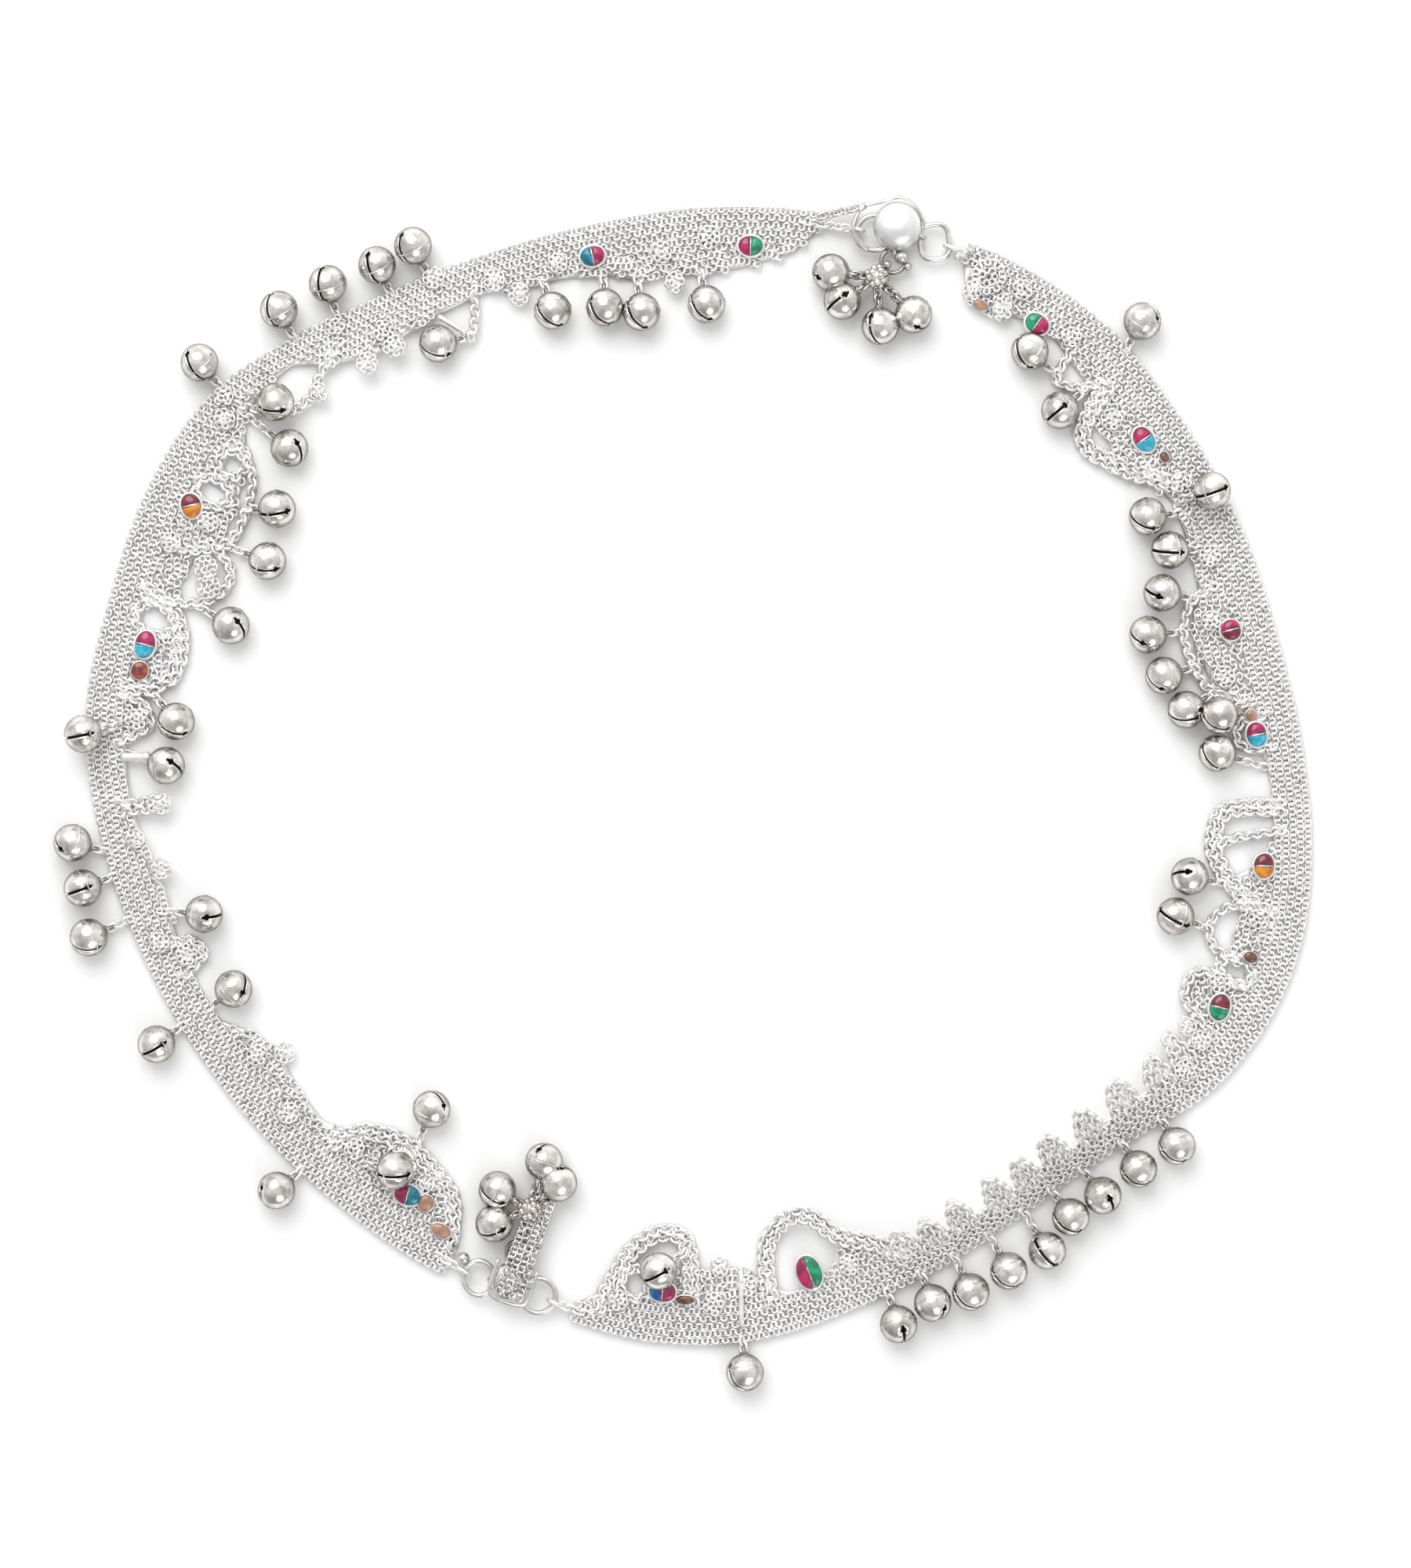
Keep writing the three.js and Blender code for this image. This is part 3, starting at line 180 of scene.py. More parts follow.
# Stones: name, station, depth, turn, stretch, and the two colours of the enamel.
LEFT_STONES = [
    ("stone_pink_green", 83.8, 0.94, 0, 1.2, "crimson", "green"),
    ("stone_teal_pink", 100.8, 0.75, 0, 1.2, "teal", "crimson"),
    ("stone_red_orange", 152, 1.11, 40, 1.2, "amber", "maroon"),
    ("stone_crimson_cyan", 166.7, 1.1, 0, 1.35, "sky", "crimson"),
    ("stone_crimson_blue", 236.1, 1.18, 20, 1.3, "teal", "crimson"),
]
RIGHT_STONES = [
    ("stone_blue_crimson", 266.7, 1.2, 0, 1.3, "crimson", "blue"),
    ("stone_leaf_pair", 284.1, 1.2, 0, 1.2, "green", "crimson", 1.7),
    ("stone_maroon_green", 335.3, 1.16, 20, 1.3, "maroon", "green"),
    ("stone_orange", 351.3, 1.12, 0, 1.2, "maroon", "amber"),
    ("stone_small_blue", 364.3, 1.03, 0, 1.2, "crimson", "sky"),
    ("stone_crimson", 374.8, 1.03, 0, 1, "crimson", "maroon"),
    ("stone_crimson_sky", 396.1, 1.02, 0, 1.3, "crimson", "sky"),
    ("stone_green_pink", 412.5, 1, 0, 1.2, "green", "crimson"),
]
# Small pieces of enamel beside the stones: station, depth, size along and across in mm, and colour.
LEFT_SPOTS = [(169.4, 1.12, 2.7, 2.5, "rust"), (238.3, 1.26, 2.4, 2.5, "tan"), (241.4, 0.9, 3, 2, "tan")]
RIGHT_SPOTS = [
    (269.3, 1.05, 2.8, 1.3, "brown"), (341.6, 1.05, 1.6, 2.1, "brown"), (418.7, 1.27, 2.4, 1.4, "tan"),
    (366.3, 1.06, 1.7, 1.7, "tan"), (393.5, 0.84, 1.7, 1.3, "brown"),
]
# Small curled shells of chain: station, depth and size as a share of the knobs' own.
LEFT_SHELLS = [
    (88.2, 0.72, 1.1), (93.5, 0.95, 1), (104.6, 0.72, 0.9), (111.5, 0.66, 1), (124.1, 0.8, 1),
    (132.8, 1.45, 0.9), (117.4, 0.12, 1), (128.2, 0.2, 0.9), (141, 0.25, 0.9),
    (142.5, 0.65, 1), (152.8, 1.62, 1), (156.4, 1, 0.9), (157.7, 1.95, 1.2), (159.6, 2.15, 1.2),
    (174.8, 1.2, 1.1), (200.3, 0.95, 1), (187.2, 0.8, 0.8), (198, 0.5, 0.9), (213.5, 1.1, 1),
    (220.5, 0.8, 1), (228.4, 1.25, 1), (237, 1.62, 0.9),
]
RIGHT_SHELLS = [
    (261.8, 0.8, 0.9), (272.5, 0.95, 1.1), (276.8, 1.3, 1), (288.3, 1.05, 1), (327.6, 0.85, 1),
    (331.2, 1.05, 0.9), (337.6, 1.45, 1), (345.8, 1.1, 1), (370.6, 1.45, 1), (376.2, 1.4, 0.9),
    (382.5, 0.95, 1), (390.5, 0.8, 0.9), (399.6, 1.35, 1), (408.8, 0.75, 0.9), (415.6, 0.5, 0.9),
    (419.2, 0.6, 1.9), (420.2, 1.05, 1), (416.7, 1, 0.9),
]
# Plain bars of round wire: two ends as station and depth, and the diameter in mm.
LEFT_BARS = [((118.5, 1), (116.6, 1.55), 0.8), ((178.9, 0.8), (179.2, 1.4), 1.3)]
RIGHT_BARS = [((275.4, 0.35), (276.3, 1.7), 0.8)]
# Bells in clusters: station and depth of the knot of beads, and of each bell round it.
TOP_KNOT = (70.2, 1.3)
TOP_CLUSTER = [(73.1, 2), (74.9, 1.4), (68.8, 2.39), (65.9, 1.97)]
BOTTOM_KNOT = (249.8, 2.2)
BOTTOM_CLUSTER = [(245.6, 2.35), (249.5, 3.35), (252, 3), (246.8, 1.6)]
# Wires and beads of the clasps: station, depth and height in mm, and for beads their radius in mm.
TOP_LOOP = [(72.8, -0.26, 2.6), (70.8, -0.47, 2.7), (69.5, -0.62, 2.7), (68, -0.5, 2.7), (66.6, -0.12, 2.6)]
TOP_HOOK = [(73.2, -0.1, 2.6), (73.4, 0.3, 2.6), (72.6, 0.62, 2.4), (71.5, 0.72, 2)]
TOP_BEADS = [
    (62.9, 0.42, 1.9, 0.55), (61.8, 0.2, 1.8, 0.6), (68.2, 0.72, 2.1, 1), (67.4, 0.9, 1.8, 0.6),
    (69.4, 0.95, 1.8, 0.6),
]
BOTTOM_BEND = [
    (248.6, 0.9, 3.3), (248.7, 0.25, 3.5), (249.4, 0.02, 3.5), (252.2, 0.02, 3.5), (252.9, 0.25, 3.5),
    (252.9, 0.9, 3.3),
]
BOTTOM_BEAD = (245.1, 0.57, 1.9, 0.9)
# The outline of a clasp's round body, as shares of its radius and height.
BODY_PROFILE = [
    (0, 0), (0.88, 0), (0.96, 0.05), (1, 0.16), (1, 0.24), (0.96, 0.32), (0.95, 0.42), (0.86, 0.66),
    (0.68, 0.84), (0.45, 0.95), (0.2, 0.99), (0, 1),
]


def route_share(at):
    count = len(ROUTE)
    angle = at % 360
    index = max(i for i, (station, _) in enumerate(ROUTE) if station <= angle)
    near_at, near = ROUTE[index]
    far_at, far = ROUTE[(index + 1) % count]
    if index + 1 == count:
        far_at = 360
    t = (angle - near_at) / (far_at - near_at)
    before = ROUTE[(index - 1) % count][1]
    after = ROUTE[(index + 2) % count][1]
    bend = 2 * before - 5 * near + 4 * far - after
    twist = 3 * (near - far) + after - before
    return near + 0.5 * t * (far - before + t * (bend + t * twist))


def route_point(at):
    reach = LOOP_RADIUS * route_share(at)
    return Vector((reach * math.cos(math.radians(at)), reach * math.sin(math.radians(at)), 0))


def read(sections, at, column):
    if at <= sections[0][0]:
        return sections[0][column]
    for near, far in zip(sections, sections[1:]):
        if at <= far[0]:
            return near[column] + (far[column] - near[column]) * (at - near[0]) / (far[0] - near[0])
    return sections[-1][column]


def directions(sections, at):
    along = (route_point(at + 0.5) - route_point(at - 0.5)).normalized()
    inwards = Vector((-along.y, along.x, 0))
    roll = math.radians(read(sections, at, 2))
    across = inwards * math.cos(roll) + UP * math.sin(roll)
    face = UP * math.cos(roll) - inwards * math.sin(roll)
    return along, inwards, across, face


def unshifted(sections, at, out, rise):
    _, _, across, face = directions(sections, at)
    return route_point(at) + across * (out * BAND_WIDTH) + face * rise


# The loop's middle isn't the frame's origin: the shift is read off one ring of the clasp.
ring_low, ring_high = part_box("ring_top_left")
shift = (ring_low + ring_high) / 2 - unshifted(LEFT, 71.3, 0.29, 0)
shift.z = 0


def place(sections, at, out, rise):
    return unshifted(sections, at, out, rise) + shift


# Finishes
RIPPLE_HEIGHT = 0.05 * MM
# Painted shade: how dark the silver gets low down, as a share of its dark tone.
PAINTED_SHADE_FACTOR = 0.74


def fill(tree, node, inputs):
    """Each input is linked to a socket or given a value."""
    for key, value in inputs.items():
        if isinstance(value, bpy.types.NodeSocket):
            tree.links.new(value, node.inputs[key])
        else:
            node.inputs[key].default_value = value


def add_node(tree, kind, inputs, **settings):
    node = tree.nodes.new(kind)
    for key, value in settings.items():
        setattr(node, key, value)
    fill(tree, node, inputs)
    return node


def new_material(name):
    material = bpy.data.materials.new(name)
    material.use_nodes = True
    return material, material.node_tree, material.node_tree.nodes["Principled BSDF"]


def noise(tree, scale, detail=2.0):
    spot = add_node(tree, "ShaderNodeTexCoord", {}).outputs["Object"]
    texture = add_node(tree, "ShaderNodeTexNoise", {"Scale": scale, "Detail": detail, "Vector": spot})
    return texture.outputs["Fac"], spot


def ramp(tree, source, stops):
    node = add_node(tree, "ShaderNodeValToRGB", {"Fac": source})
    for element, (position, color) in zip(node.color_ramp.elements, stops):
        element.position = position
        element.color = (*color, 1)
    return node.outputs["Color"]


def ripples(tree, source, strength):
    node = add_node(tree, "ShaderNodeBump", {
        "Strength": strength, "Distance": RIPPLE_HEIGHT, "Height": source})
    return node.outputs["Normal"]


def silver(name, light, dark, rough_low, rough_high, scale, dent, painted_shade_low=0.1 * MM, painted_shade_high=0.9 * MM):
    """White metal: bright, a little uneven in tone and polish, and darker low down between wires, which is
    painted shade.
    """
    material, tree, shader = new_material(name)
    patches, spot = noise(tree, scale, 3.0)
    tone = ramp(tree, patches, [(0.3, dark), (0.62, light)])
    # Painted shade: between the two heights the colour darkens towards the lower one, where the wires would
    # shade each other.
    split = add_node(tree, "ShaderNodeSeparateXYZ", {"Vector": spot})
    height = add_node(tree, "ShaderNodeMapRange", {
        "From Min": painted_shade_low, "From Max": painted_shade_high, "Value": split.outputs["Z"]})
    painted_shade_mix = add_node(tree, "ShaderNodeMix", {
        "A": (*[PAINTED_SHADE_FACTOR * channel for channel in dark], 1), "B": tone, "Factor": height.outputs["Result"],
    }, data_type="RGBA")
    polish = add_node(tree, "ShaderNodeMapRange", {
        "To Min": rough_low, "To Max": rough_high, "Value": patches})
    fine, _ = noise(tree, scale * 3)
    fill(tree, shader, {
        "Metallic": 1.0, "Base Color": painted_shade_mix.outputs["Result"], "Roughness": polish.outputs["Result"],
        "Normal": ripples(tree, fine, dent)})
    return material


def enamel(name, light, dark):
    """Poured enamel: glossy, a little cloudy, with fine ripples."""
    material, tree, shader = new_material(name)
    clouds, _ = noise(tree, 900, 3.0)
    fill(tree, shader, {
        "Roughness": 0.16, "Coat Weight": 0.6, "Coat Roughness": 0.08,
        "Base Color": ramp(tree, clouds, [(0.42, dark), (0.6, light)]),
        "Normal": ripples(tree, clouds, 0.12)})
    return material


# Chain and clasp silver darken from 0.9 mm down to 0.1 mm above the floor: painted shade between the wires.
chain_silver = silver("worked silver chain", (0.98, 0.97, 0.96), (0.84, 0.83, 0.82), 0.42, 0.56, 1600, 0.3)
# The bells' silver darkens from 4.3 mm down to 1.9 mm: painted shade round their lower rims.
bell_silver = silver("polished bell silver", (0.92, 0.9, 0.87), (0.5, 0.47, 0.43), 0.1, 0.3, 560, 1.0,
                     1.9 * MM, 4.3 * MM)
clasp_silver = silver("polished clasp silver", (0.84, 0.83, 0.81), (0.62, 0.61, 0.59), 0.12, 0.26, 700, 0.15)
# The dome darkens from 4.3 mm down to 2.2 mm: painted shade round its rim.
dome_silver = silver("white dome silver", (0.95, 0.95, 0.95), (0.84, 0.84, 0.83), 0.3, 0.45, 400, 0.3,
                     2.2 * MM, 4.3 * MM)
# Painted shade: the inside of the bells is dark so that the slits and holes read as shaded hollows.
bell_inside_shade = silver("dark inside of the bells", (0.42, 0.4, 0.38), (0.26, 0.25, 0.24), 0.5, 0.7, 600, 0.2)
for finish in (bell_silver, clasp_silver):
    finish.node_tree.nodes["Principled BSDF"].inputs["Specular Tint"].default_value = (0.42, 0.4, 0.38, 1)
ENAMELS = {colour: enamel(colour + " enamel", light, dark) for colour, light, dark in (
    ("crimson", (0.46, 0.01, 0.12), (0.24, 0.0, 0.05)),
    ("maroon", (0.24, 0.01, 0.03), (0.1, 0.005, 0.015)),
    ("teal", (0.01, 0.28, 0.36), (0.0, 0.12, 0.2)),
    ("sky", (0.05, 0.5, 0.66), (0.02, 0.3, 0.46)),
    ("blue", (0.03, 0.2, 0.5), (0.01, 0.08, 0.3)),
    ("green", (0.01, 0.34, 0.17), (0.0, 0.17, 0.08)),
    ("amber", (0.78, 0.3, 0.03), (0.5, 0.15, 0.01)),
    ("brown", (0.2, 0.08, 0.05), (0.08, 0.03, 0.02)),
    ("rust", (0.4, 0.1, 0.04), (0.16, 0.02, 0.02)),
    ("tan", (0.48, 0.28, 0.2), (0.32, 0.17, 0.11)),
)}


# Mesh helpers
def centre_of(node):
    low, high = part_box(node)
    return (low + high) / 2


def finish_piece(name, bm, materials, nodes):
    """One smooth mesh with its faces turned outwards, on the resting body."""
    mesh = bpy.data.meshes.new(name)
    bmesh.ops.recalc_face_normals(bm, faces=bm.faces)
    bm.to_mesh(mesh)
    bm.free()
    for material in materials:
        mesh.materials.append(material)
    mesh.polygons.foreach_set("use_smooth", [True] * len(mesh.polygons))
    piece = bpy.data.objects.new(name, mesh)
    bpy.context.collection.objects.link(piece)
    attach(piece, "root")
    if nodes:
        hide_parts(*nodes)


def matrix_from(x_axis, z_hint, origin):
    """A turned frame: x along x_axis, z as near to z_hint as it can be."""
    x = x_axis.normalized()
    y = z_hint.cross(x).normalized()
    z = x.cross(y)
    turned = Matrix((x, y, z)).transposed().to_4x4()
    turned.translation = origin
    return turned


def add_ring(bm, matrix, radius, wire, around=28, section=8, stretch=1.0, index=0, power=1.0):
    """A closed ring of round wire in the matrix's x-y plane, stretched along x, squarer at a lower power."""
    rows = []
    for step in range(around):
        turn = 2 * math.pi * step / around
        x, y = math.cos(turn), math.sin(turn)
        centre = Vector((math.copysign(abs(x) ** power, x) * radius * stretch,
                         math.copysign(abs(y) ** power, y) * radius, 0))
        outwards = Vector((math.copysign(abs(x) ** (2 - power), x),
                           math.copysign(abs(y) ** (2 - power), y) * stretch, 0)).normalized()
        row = []
        for side in range(section):
            angle = 2 * math.pi * side / section
            spot = centre + outwards * (wire / 2 * math.cos(angle))
            spot.z = wire / 2 * math.sin(angle)
            row.append(bm.verts.new(matrix @ spot))
        rows.append(row)
    for step in range(around):
        near, far = rows[step], rows[(step + 1) % around]
        for side in range(section):
            other = (side + 1) % section
            bm.faces.new((near[side], far[side], far[other], near[other])).material_index = index


def add_wire(bm, points, diameter, section=8, index=0):
    """A round wire along points, closed with flat ends."""
    rows = []
    normal = None
    for step, point in enumerate(points):
        before = points[max(step - 1, 0)]
        after = points[min(step + 1, len(points) - 1)]
        tangent = (after - before).normalized()
        if normal is None:
            normal = tangent.orthogonal().normalized()
        normal = (normal - tangent * normal.dot(tangent)).normalized()
        side = tangent.cross(normal)
        rows.append([
            bm.verts.new(point + normal * (diameter / 2 * math.cos(2 * math.pi * k / section))
                         + side * (diameter / 2 * math.sin(2 * math.pi * k / section)))
            for k in range(section)
        ])
    for near, far in zip(rows, rows[1:]):
        for k in range(section):
            other = (k + 1) % section
            bm.faces.new((near[k], near[other], far[other], far[k])).material_index = index
    bm.faces.new(list(reversed(rows[0]))).material_index = index
    bm.faces.new(rows[-1]).material_index = index


def add_bead(bm, centre, radius, segments=14, rings=8):
    made = bmesh.ops.create_uvsphere(bm, u_segments=segments, v_segments=rings, radius=radius)
    bmesh.ops.translate(bm, verts=made["verts"], vec=centre)


def add_link_chain(bm, start, end, wire, length):
    """Oval links from start to end, each turned a quarter from the one before it."""
    span = end - start
    count = max(1, round(span.length / (length * 0.62)))
    for step in range(count):
        centre = start + span * ((step + 0.5) / count)
        tilt = math.radians(38 if step % 2 else -38)
        turned = matrix_from(span, UP, centre) @ Matrix.Rotation(tilt, 4, "X")
        add_ring(bm, turned, length * 0.3, wire, 12, 6, 1.55)


def add_standing_eye(bm, ring_centre, ring_radius, point):
    """An eye round a flat ring's wire, on the side of a point; its direction and middle are returned."""
    towards = point - ring_centre
    towards.z = 0
    towards.normalize()
    hold = ring_centre + towards * ring_radius
    add_ring(bm, matrix_from(towards, towards.cross(UP), hold), EYE_RADIUS, EYE_WIRE, 24, 8)
    return towards, hold


# Bells: two shells with a raised seam, a slit between two round holes, and an eye. The inner shell is dark
# silver, painted shade inside the bell.
SLIT_HALF = 4.5
HOLE_HALF = 6
SLIT_LATITUDES = (-72, -56, -42, -30, -20, -10.5, -SLIT_HALF, SLIT_HALF, 10.5, 20, 30, 42, 56, 72)
SLIT_ROW = SLIT_LATITUDES.index(-SLIT_HALF)
SLIT_STEPS = 32
SLIT_REACH = 5
WALL = 0.3 * MM
SEAM_WIRE = 0.26 * MM
SEAM_INSET = 0.06 * MM
NECK_WIDTH = 1.3 * MM


def add_bell(bm, centre, eye, slit_middle):
    """A hollow bell with its eye's hold at eye and its slit's middle towards slit_middle."""
    middle = slit_middle.normalized()
    pole = middle.cross((eye - centre).normalized())
    if pole.length < 0.1:
        pole = middle.orthogonal()
    turned = matrix_from(middle, pole.normalized(), centre)
    shells = []
    for radius in (BELL_RADIUS, BELL_RADIUS - WALL):
        rows = []
        for latitude in SLIT_LATITUDES:
            row = []
            for step in range(SLIT_STEPS):
                turn = 2 * math.pi * step / SLIT_STEPS
                level = latitude
                if abs(latitude) == SLIT_HALF and min(step, SLIT_STEPS - step) == SLIT_REACH + 1:
                    level = math.copysign(HOLE_HALF, latitude)
                up = math.radians(level)
                row.append(bm.verts.new(turned @ (radius * Vector((
                    math.cos(up) * math.cos(turn), math.cos(up) * math.sin(turn), math.sin(up))))))
            rows.append(row)
        low = bm.verts.new(turned @ Vector((0, 0, -radius)))
        high = bm.verts.new(turned @ Vector((0, 0, radius)))
        shells.append((rows, low, high))

    def is_open(row, step):
        away = min(step, SLIT_STEPS - 1 - step)
        if row == SLIT_ROW:
            return away <= SLIT_REACH + 1
        return row in (SLIT_ROW - 1, SLIT_ROW + 1) and away == SLIT_REACH

    for inner, (rows, low, high) in enumerate(shells):
        for row in range(len(rows) - 1):
            for step in range(SLIT_STEPS):
                if is_open(row, step):
                    continue
                other = (step + 1) % SLIT_STEPS
                quad = [rows[row][step], rows[row][other], rows[row + 1][other], rows[row + 1][step]]
                bm.faces.new(quad[::-1] if inner else quad).material_index = inner
        for step in range(SLIT_STEPS):
            other = (step + 1) % SLIT_STEPS
            caps = ([low, rows[0][other], rows[0][step]], [high, rows[-1][step], rows[-1][other]])
            for cap in caps:
                bm.faces.new(cap[::-1] if inner else cap).material_index = inner
    outer, inside = shells[0][0], shells[1][0]
    for row in range(len(outer) - 1):
        for step in range(SLIT_STEPS):
            if not is_open(row, step):
                continue
            other = (step + 1) % SLIT_STEPS
            before = (step - 1) % SLIT_STEPS
            edges = [
                (is_open(row - 1, step), (row, step), (row, other)),
                (is_open(row + 1, step), (row + 1, other), (row + 1, step)),
                (is_open(row, before), (row + 1, step), (row, step)),
                (is_open(row, other), (row, other), (row + 1, other)),
            ]
            for shared, (row_a, step_a), (row_b, step_b) in edges:
                if not shared:
                    bm.faces.new((outer[row_a][step_a], outer[row_b][step_b],
                                  inside[row_b][step_b], inside[row_a][step_a]))
    axis = (eye - centre).normalized()
    seam = matrix_from(axis.orthogonal(), axis, centre)
    add_ring(bm, seam, BELL_RADIUS - SEAM_INSET, SEAM_WIRE, 40, 6)
    side = axis.cross(UP)
    side = side.normalized() if side.length > 0.1 else Vector((1, 0, 0))
    add_ring(bm, matrix_from(axis, side, eye), link_reach * 0.95, LINK_WIRE, 16, 6)
    neck = [centre + axis * (BELL_RADIUS - 0.1 * MM), centre + axis * (BELL_RADIUS + 0.2 * MM)]
    add_wire(bm, neck, NECK_WIDTH, 12)


def slit_direction(centre, eye):
    """Most bells show their slit from above and to the lower left; the rest hang slit down."""
    axis = (eye - centre).normalized()
    if dice.random() < 0.65:
        towards = Vector((-0.45 + dice.uniform(-0.3, 0.3), -0.4 + dice.uniform(-0.3, 0.3), 0.75))
    else:
        towards = -axis + Vector((dice.uniform(-0.3, 0.3), dice.uniform(-0.3, 0.3), -0.2))
    towards -= axis * max(0, towards.dot(axis)) * 1.2
    return towards.normalized()


def bell_pose(sections, at, out, lean, link, raised=False):
    """Where a bell's link is rooted in the band, where it holds the eye, and the bell's middle."""
    along, inwards, _, _ = directions(sections, at)
    floor = BAND_THICKNESS if raised else 0
    lift = LINK_CLEARANCE if raised else 0
    root = place(sections, at, out, BAND_THICKNESS / 2)
    turn = math.radians(lean)
    away = inwards * math.cos(turn) + along * math.sin(turn)
    height = floor + lift + BELL_RADIUS
    drop = height - floor - link_height
    level = math.sqrt(link_standoff ** 2 - drop ** 2)
    hold = root + away * (link * LINK_LENGTH)
    hold.z = floor + link_height
    centre = hold + away * level
    centre.z = height
    return root, hold, centre


holds = {"left": [], "right": []}
for side, sections, singles, rows in (
    ("left", LEFT, LEFT_BELLS, [("bell_pair_top", TOP_PAIR)]),
    ("right", RIGHT, RIGHT_BELLS, [("bell_row_inner", INNER_ROW), ("bell_row_outer", OUTER_ROW)]),
):
    groups = [(name, [entry]) for name, *entry in singles] + rows
    for name, entries in groups:
        bm = bmesh.new()
        for root, hold, centre in [bell_pose(sections, *entry) for entry in entries]:
            holds[side].append((root, hold))
            add_bell(bm, centre, hold, slit_direction(centre, hold))
        finish_piece("silver_" + name, bm, [bell_silver, bell_inside_shade], [name])


# Chain that is laid along paths, made of small oval links that lean against each other.
def chain_tree():
    """Links at even steps along each path, leaning to its two sides by turns."""
    tree = bpy.data.node_groups.new("chain of small links", "GeometryNodeTree")
    socket = tree.interface.new_socket
    socket("Geometry", in_out="INPUT", socket_type="NodeSocketGeometry")
    inputs = {}
    for name in ("Pitch", "Link length", "Link width", "Wire", "Lean", "Unevenness"):
        inputs[name] = socket(name, in_out="INPUT", socket_type="NodeSocketFloat").identifier
    inputs["Finish"] = socket("Finish", in_out="INPUT", socket_type="NodeSocketMaterial").identifier
    socket("Geometry", in_out="OUTPUT", socket_type="NodeSocketGeometry")

    def sum_of(operation, *values):
        return add_node(tree, "ShaderNodeMath", dict(enumerate(values)), operation=operation).outputs["Value"]

    given = add_node(tree, "NodeGroupInput", {}).outputs
    curves = add_node(tree, "GeometryNodeMeshToCurve", {"Mesh": given["Geometry"]})
    points = add_node(tree, "GeometryNodeCurveToPoints", {
        "Curve": curves.outputs["Curve"], "Length": given["Pitch"]}, mode="LENGTH")
    face = add_node(tree, "GeometryNodeInputNamedAttribute", {"Name": "face"}, data_type="FLOAT_VECTOR")
    turned = add_node(tree, "FunctionNodeAxesToRotation", {
        "Primary Axis": points.outputs["Tangent"], "Secondary Axis": face.outputs["Attribute"],
    }, primary_axis="X", secondary_axis="Z")
    index = add_node(tree, "GeometryNodeInputIndex", {}).outputs["Index"]
    lean = sum_of("MULTIPLY", sum_of("MULTIPLY_ADD", sum_of("MODULO", index, 2), 2, -1), given["Lean"])
    spread = add_node(tree, "FunctionNodeRandomValue", {"Seed": 11}, data_type="FLOAT")
    lowest, highest = [item for item in spread.inputs if item.type == "VALUE" and item.name in ("Min", "Max")]
    tree.links.new(sum_of("MULTIPLY", given["Unevenness"], -1), lowest)
    tree.links.new(given["Unevenness"], highest)
    chance = [item for item in spread.outputs if item.type == "VALUE"][0]
    euler = add_node(tree, "ShaderNodeCombineXYZ", {"X": sum_of("ADD", lean, chance), "Z": chance})
    local = add_node(tree, "FunctionNodeEulerToRotation", {"Euler": euler.outputs["Vector"]})
    rotation = add_node(tree, "FunctionNodeRotateRotation", {
        "Rotation": turned.outputs["Rotation"], "Rotate By": local.outputs["Rotation"],
    }, rotation_space="LOCAL")
    circle = add_node(tree, "GeometryNodeCurvePrimitiveCircle", {"Resolution": 7, "Radius": 0.5})
    size = add_node(tree, "ShaderNodeCombineXYZ", {
        "X": given["Link length"], "Y": given["Link width"], "Z": 1})
    oval = add_node(tree, "GeometryNodeTransform", {
        "Geometry": circle.outputs["Curve"], "Scale": size.outputs["Vector"]})
    section = add_node(tree, "GeometryNodeCurvePrimitiveCircle", {
        "Resolution": 4, "Radius": sum_of("MULTIPLY", given["Wire"], 0.5)})
    link = add_node(tree, "GeometryNodeCurveToMesh", {
        "Curve": oval.outputs["Geometry"], "Profile Curve": section.outputs["Curve"]})
    copies = add_node(tree, "GeometryNodeInstanceOnPoints", {
        "Points": points.outputs["Points"], "Instance": link.outputs["Mesh"],
        "Rotation": rotation.outputs["Rotation"]})
    realize = add_node(tree, "GeometryNodeRealizeInstances", {"Geometry": copies.outputs["Instances"]})
    paint = add_node(tree, "GeometryNodeSetMaterial", {
        "Geometry": realize.outputs["Geometry"], "Material": given["Finish"]})
    add_node(tree, "NodeGroupOutput", {"Geometry": paint.outputs["Geometry"]})
    return tree, inputs


CHAIN_TREE, CHAIN_INPUTS = chain_tree()


def laid_chain(name, paths, sizes):
    """A mesh of links along paths of (point, face direction) pairs."""
    mesh = bpy.data.meshes.new(name)
    points, faces, edges = [], [], []
    for path in paths:
        first = len(points)
        points += [point for point, _ in path]
        faces += [direction for _, direction in path]
        edges += [(first + k, first + k + 1) for k in range(len(path) - 1)]
    mesh.from_pydata(points, edges, [])
    attribute = mesh.attributes.new("face", "FLOAT_VECTOR", "POINT")
    attribute.data.foreach_set("vector", [value for direction in faces for value in direction])
    carrier = bpy.data.objects.new(name, mesh)
    bpy.context.collection.objects.link(carrier)
    modifier = carrier.modifiers.new("links", "NODES")
    modifier.node_group = CHAIN_TREE
    for key, value in sizes.items():
        modifier[CHAIN_INPUTS[key]] = value
    depsgraph = bpy.context.evaluated_depsgraph_get()
    made = bpy.data.meshes.new_from_object(carrier.evaluated_get(depsgraph))
    # Set Material gives the links a slot of their own; the piece's first material is theirs.
    made.polygons.foreach_set("material_index", [0] * len(made.polygons))
    bpy.data.objects.remove(carrier)
    return made


ROW_PITCH = 1.08 * MM
ROW_RISE = 0.85 * MM
FIRST_ROW = 0.5 * MM
STRAIGHT_ROWS = 5
ALL_ROWS = 13
# How far outside a window's edge its rim of chain, the rows and the sheet under them lie.
RIM_MARGIN = 1.05 * MM
ROW_MARGIN = 0.9 * MM
SHEET_MARGIN = 0.4 * MM
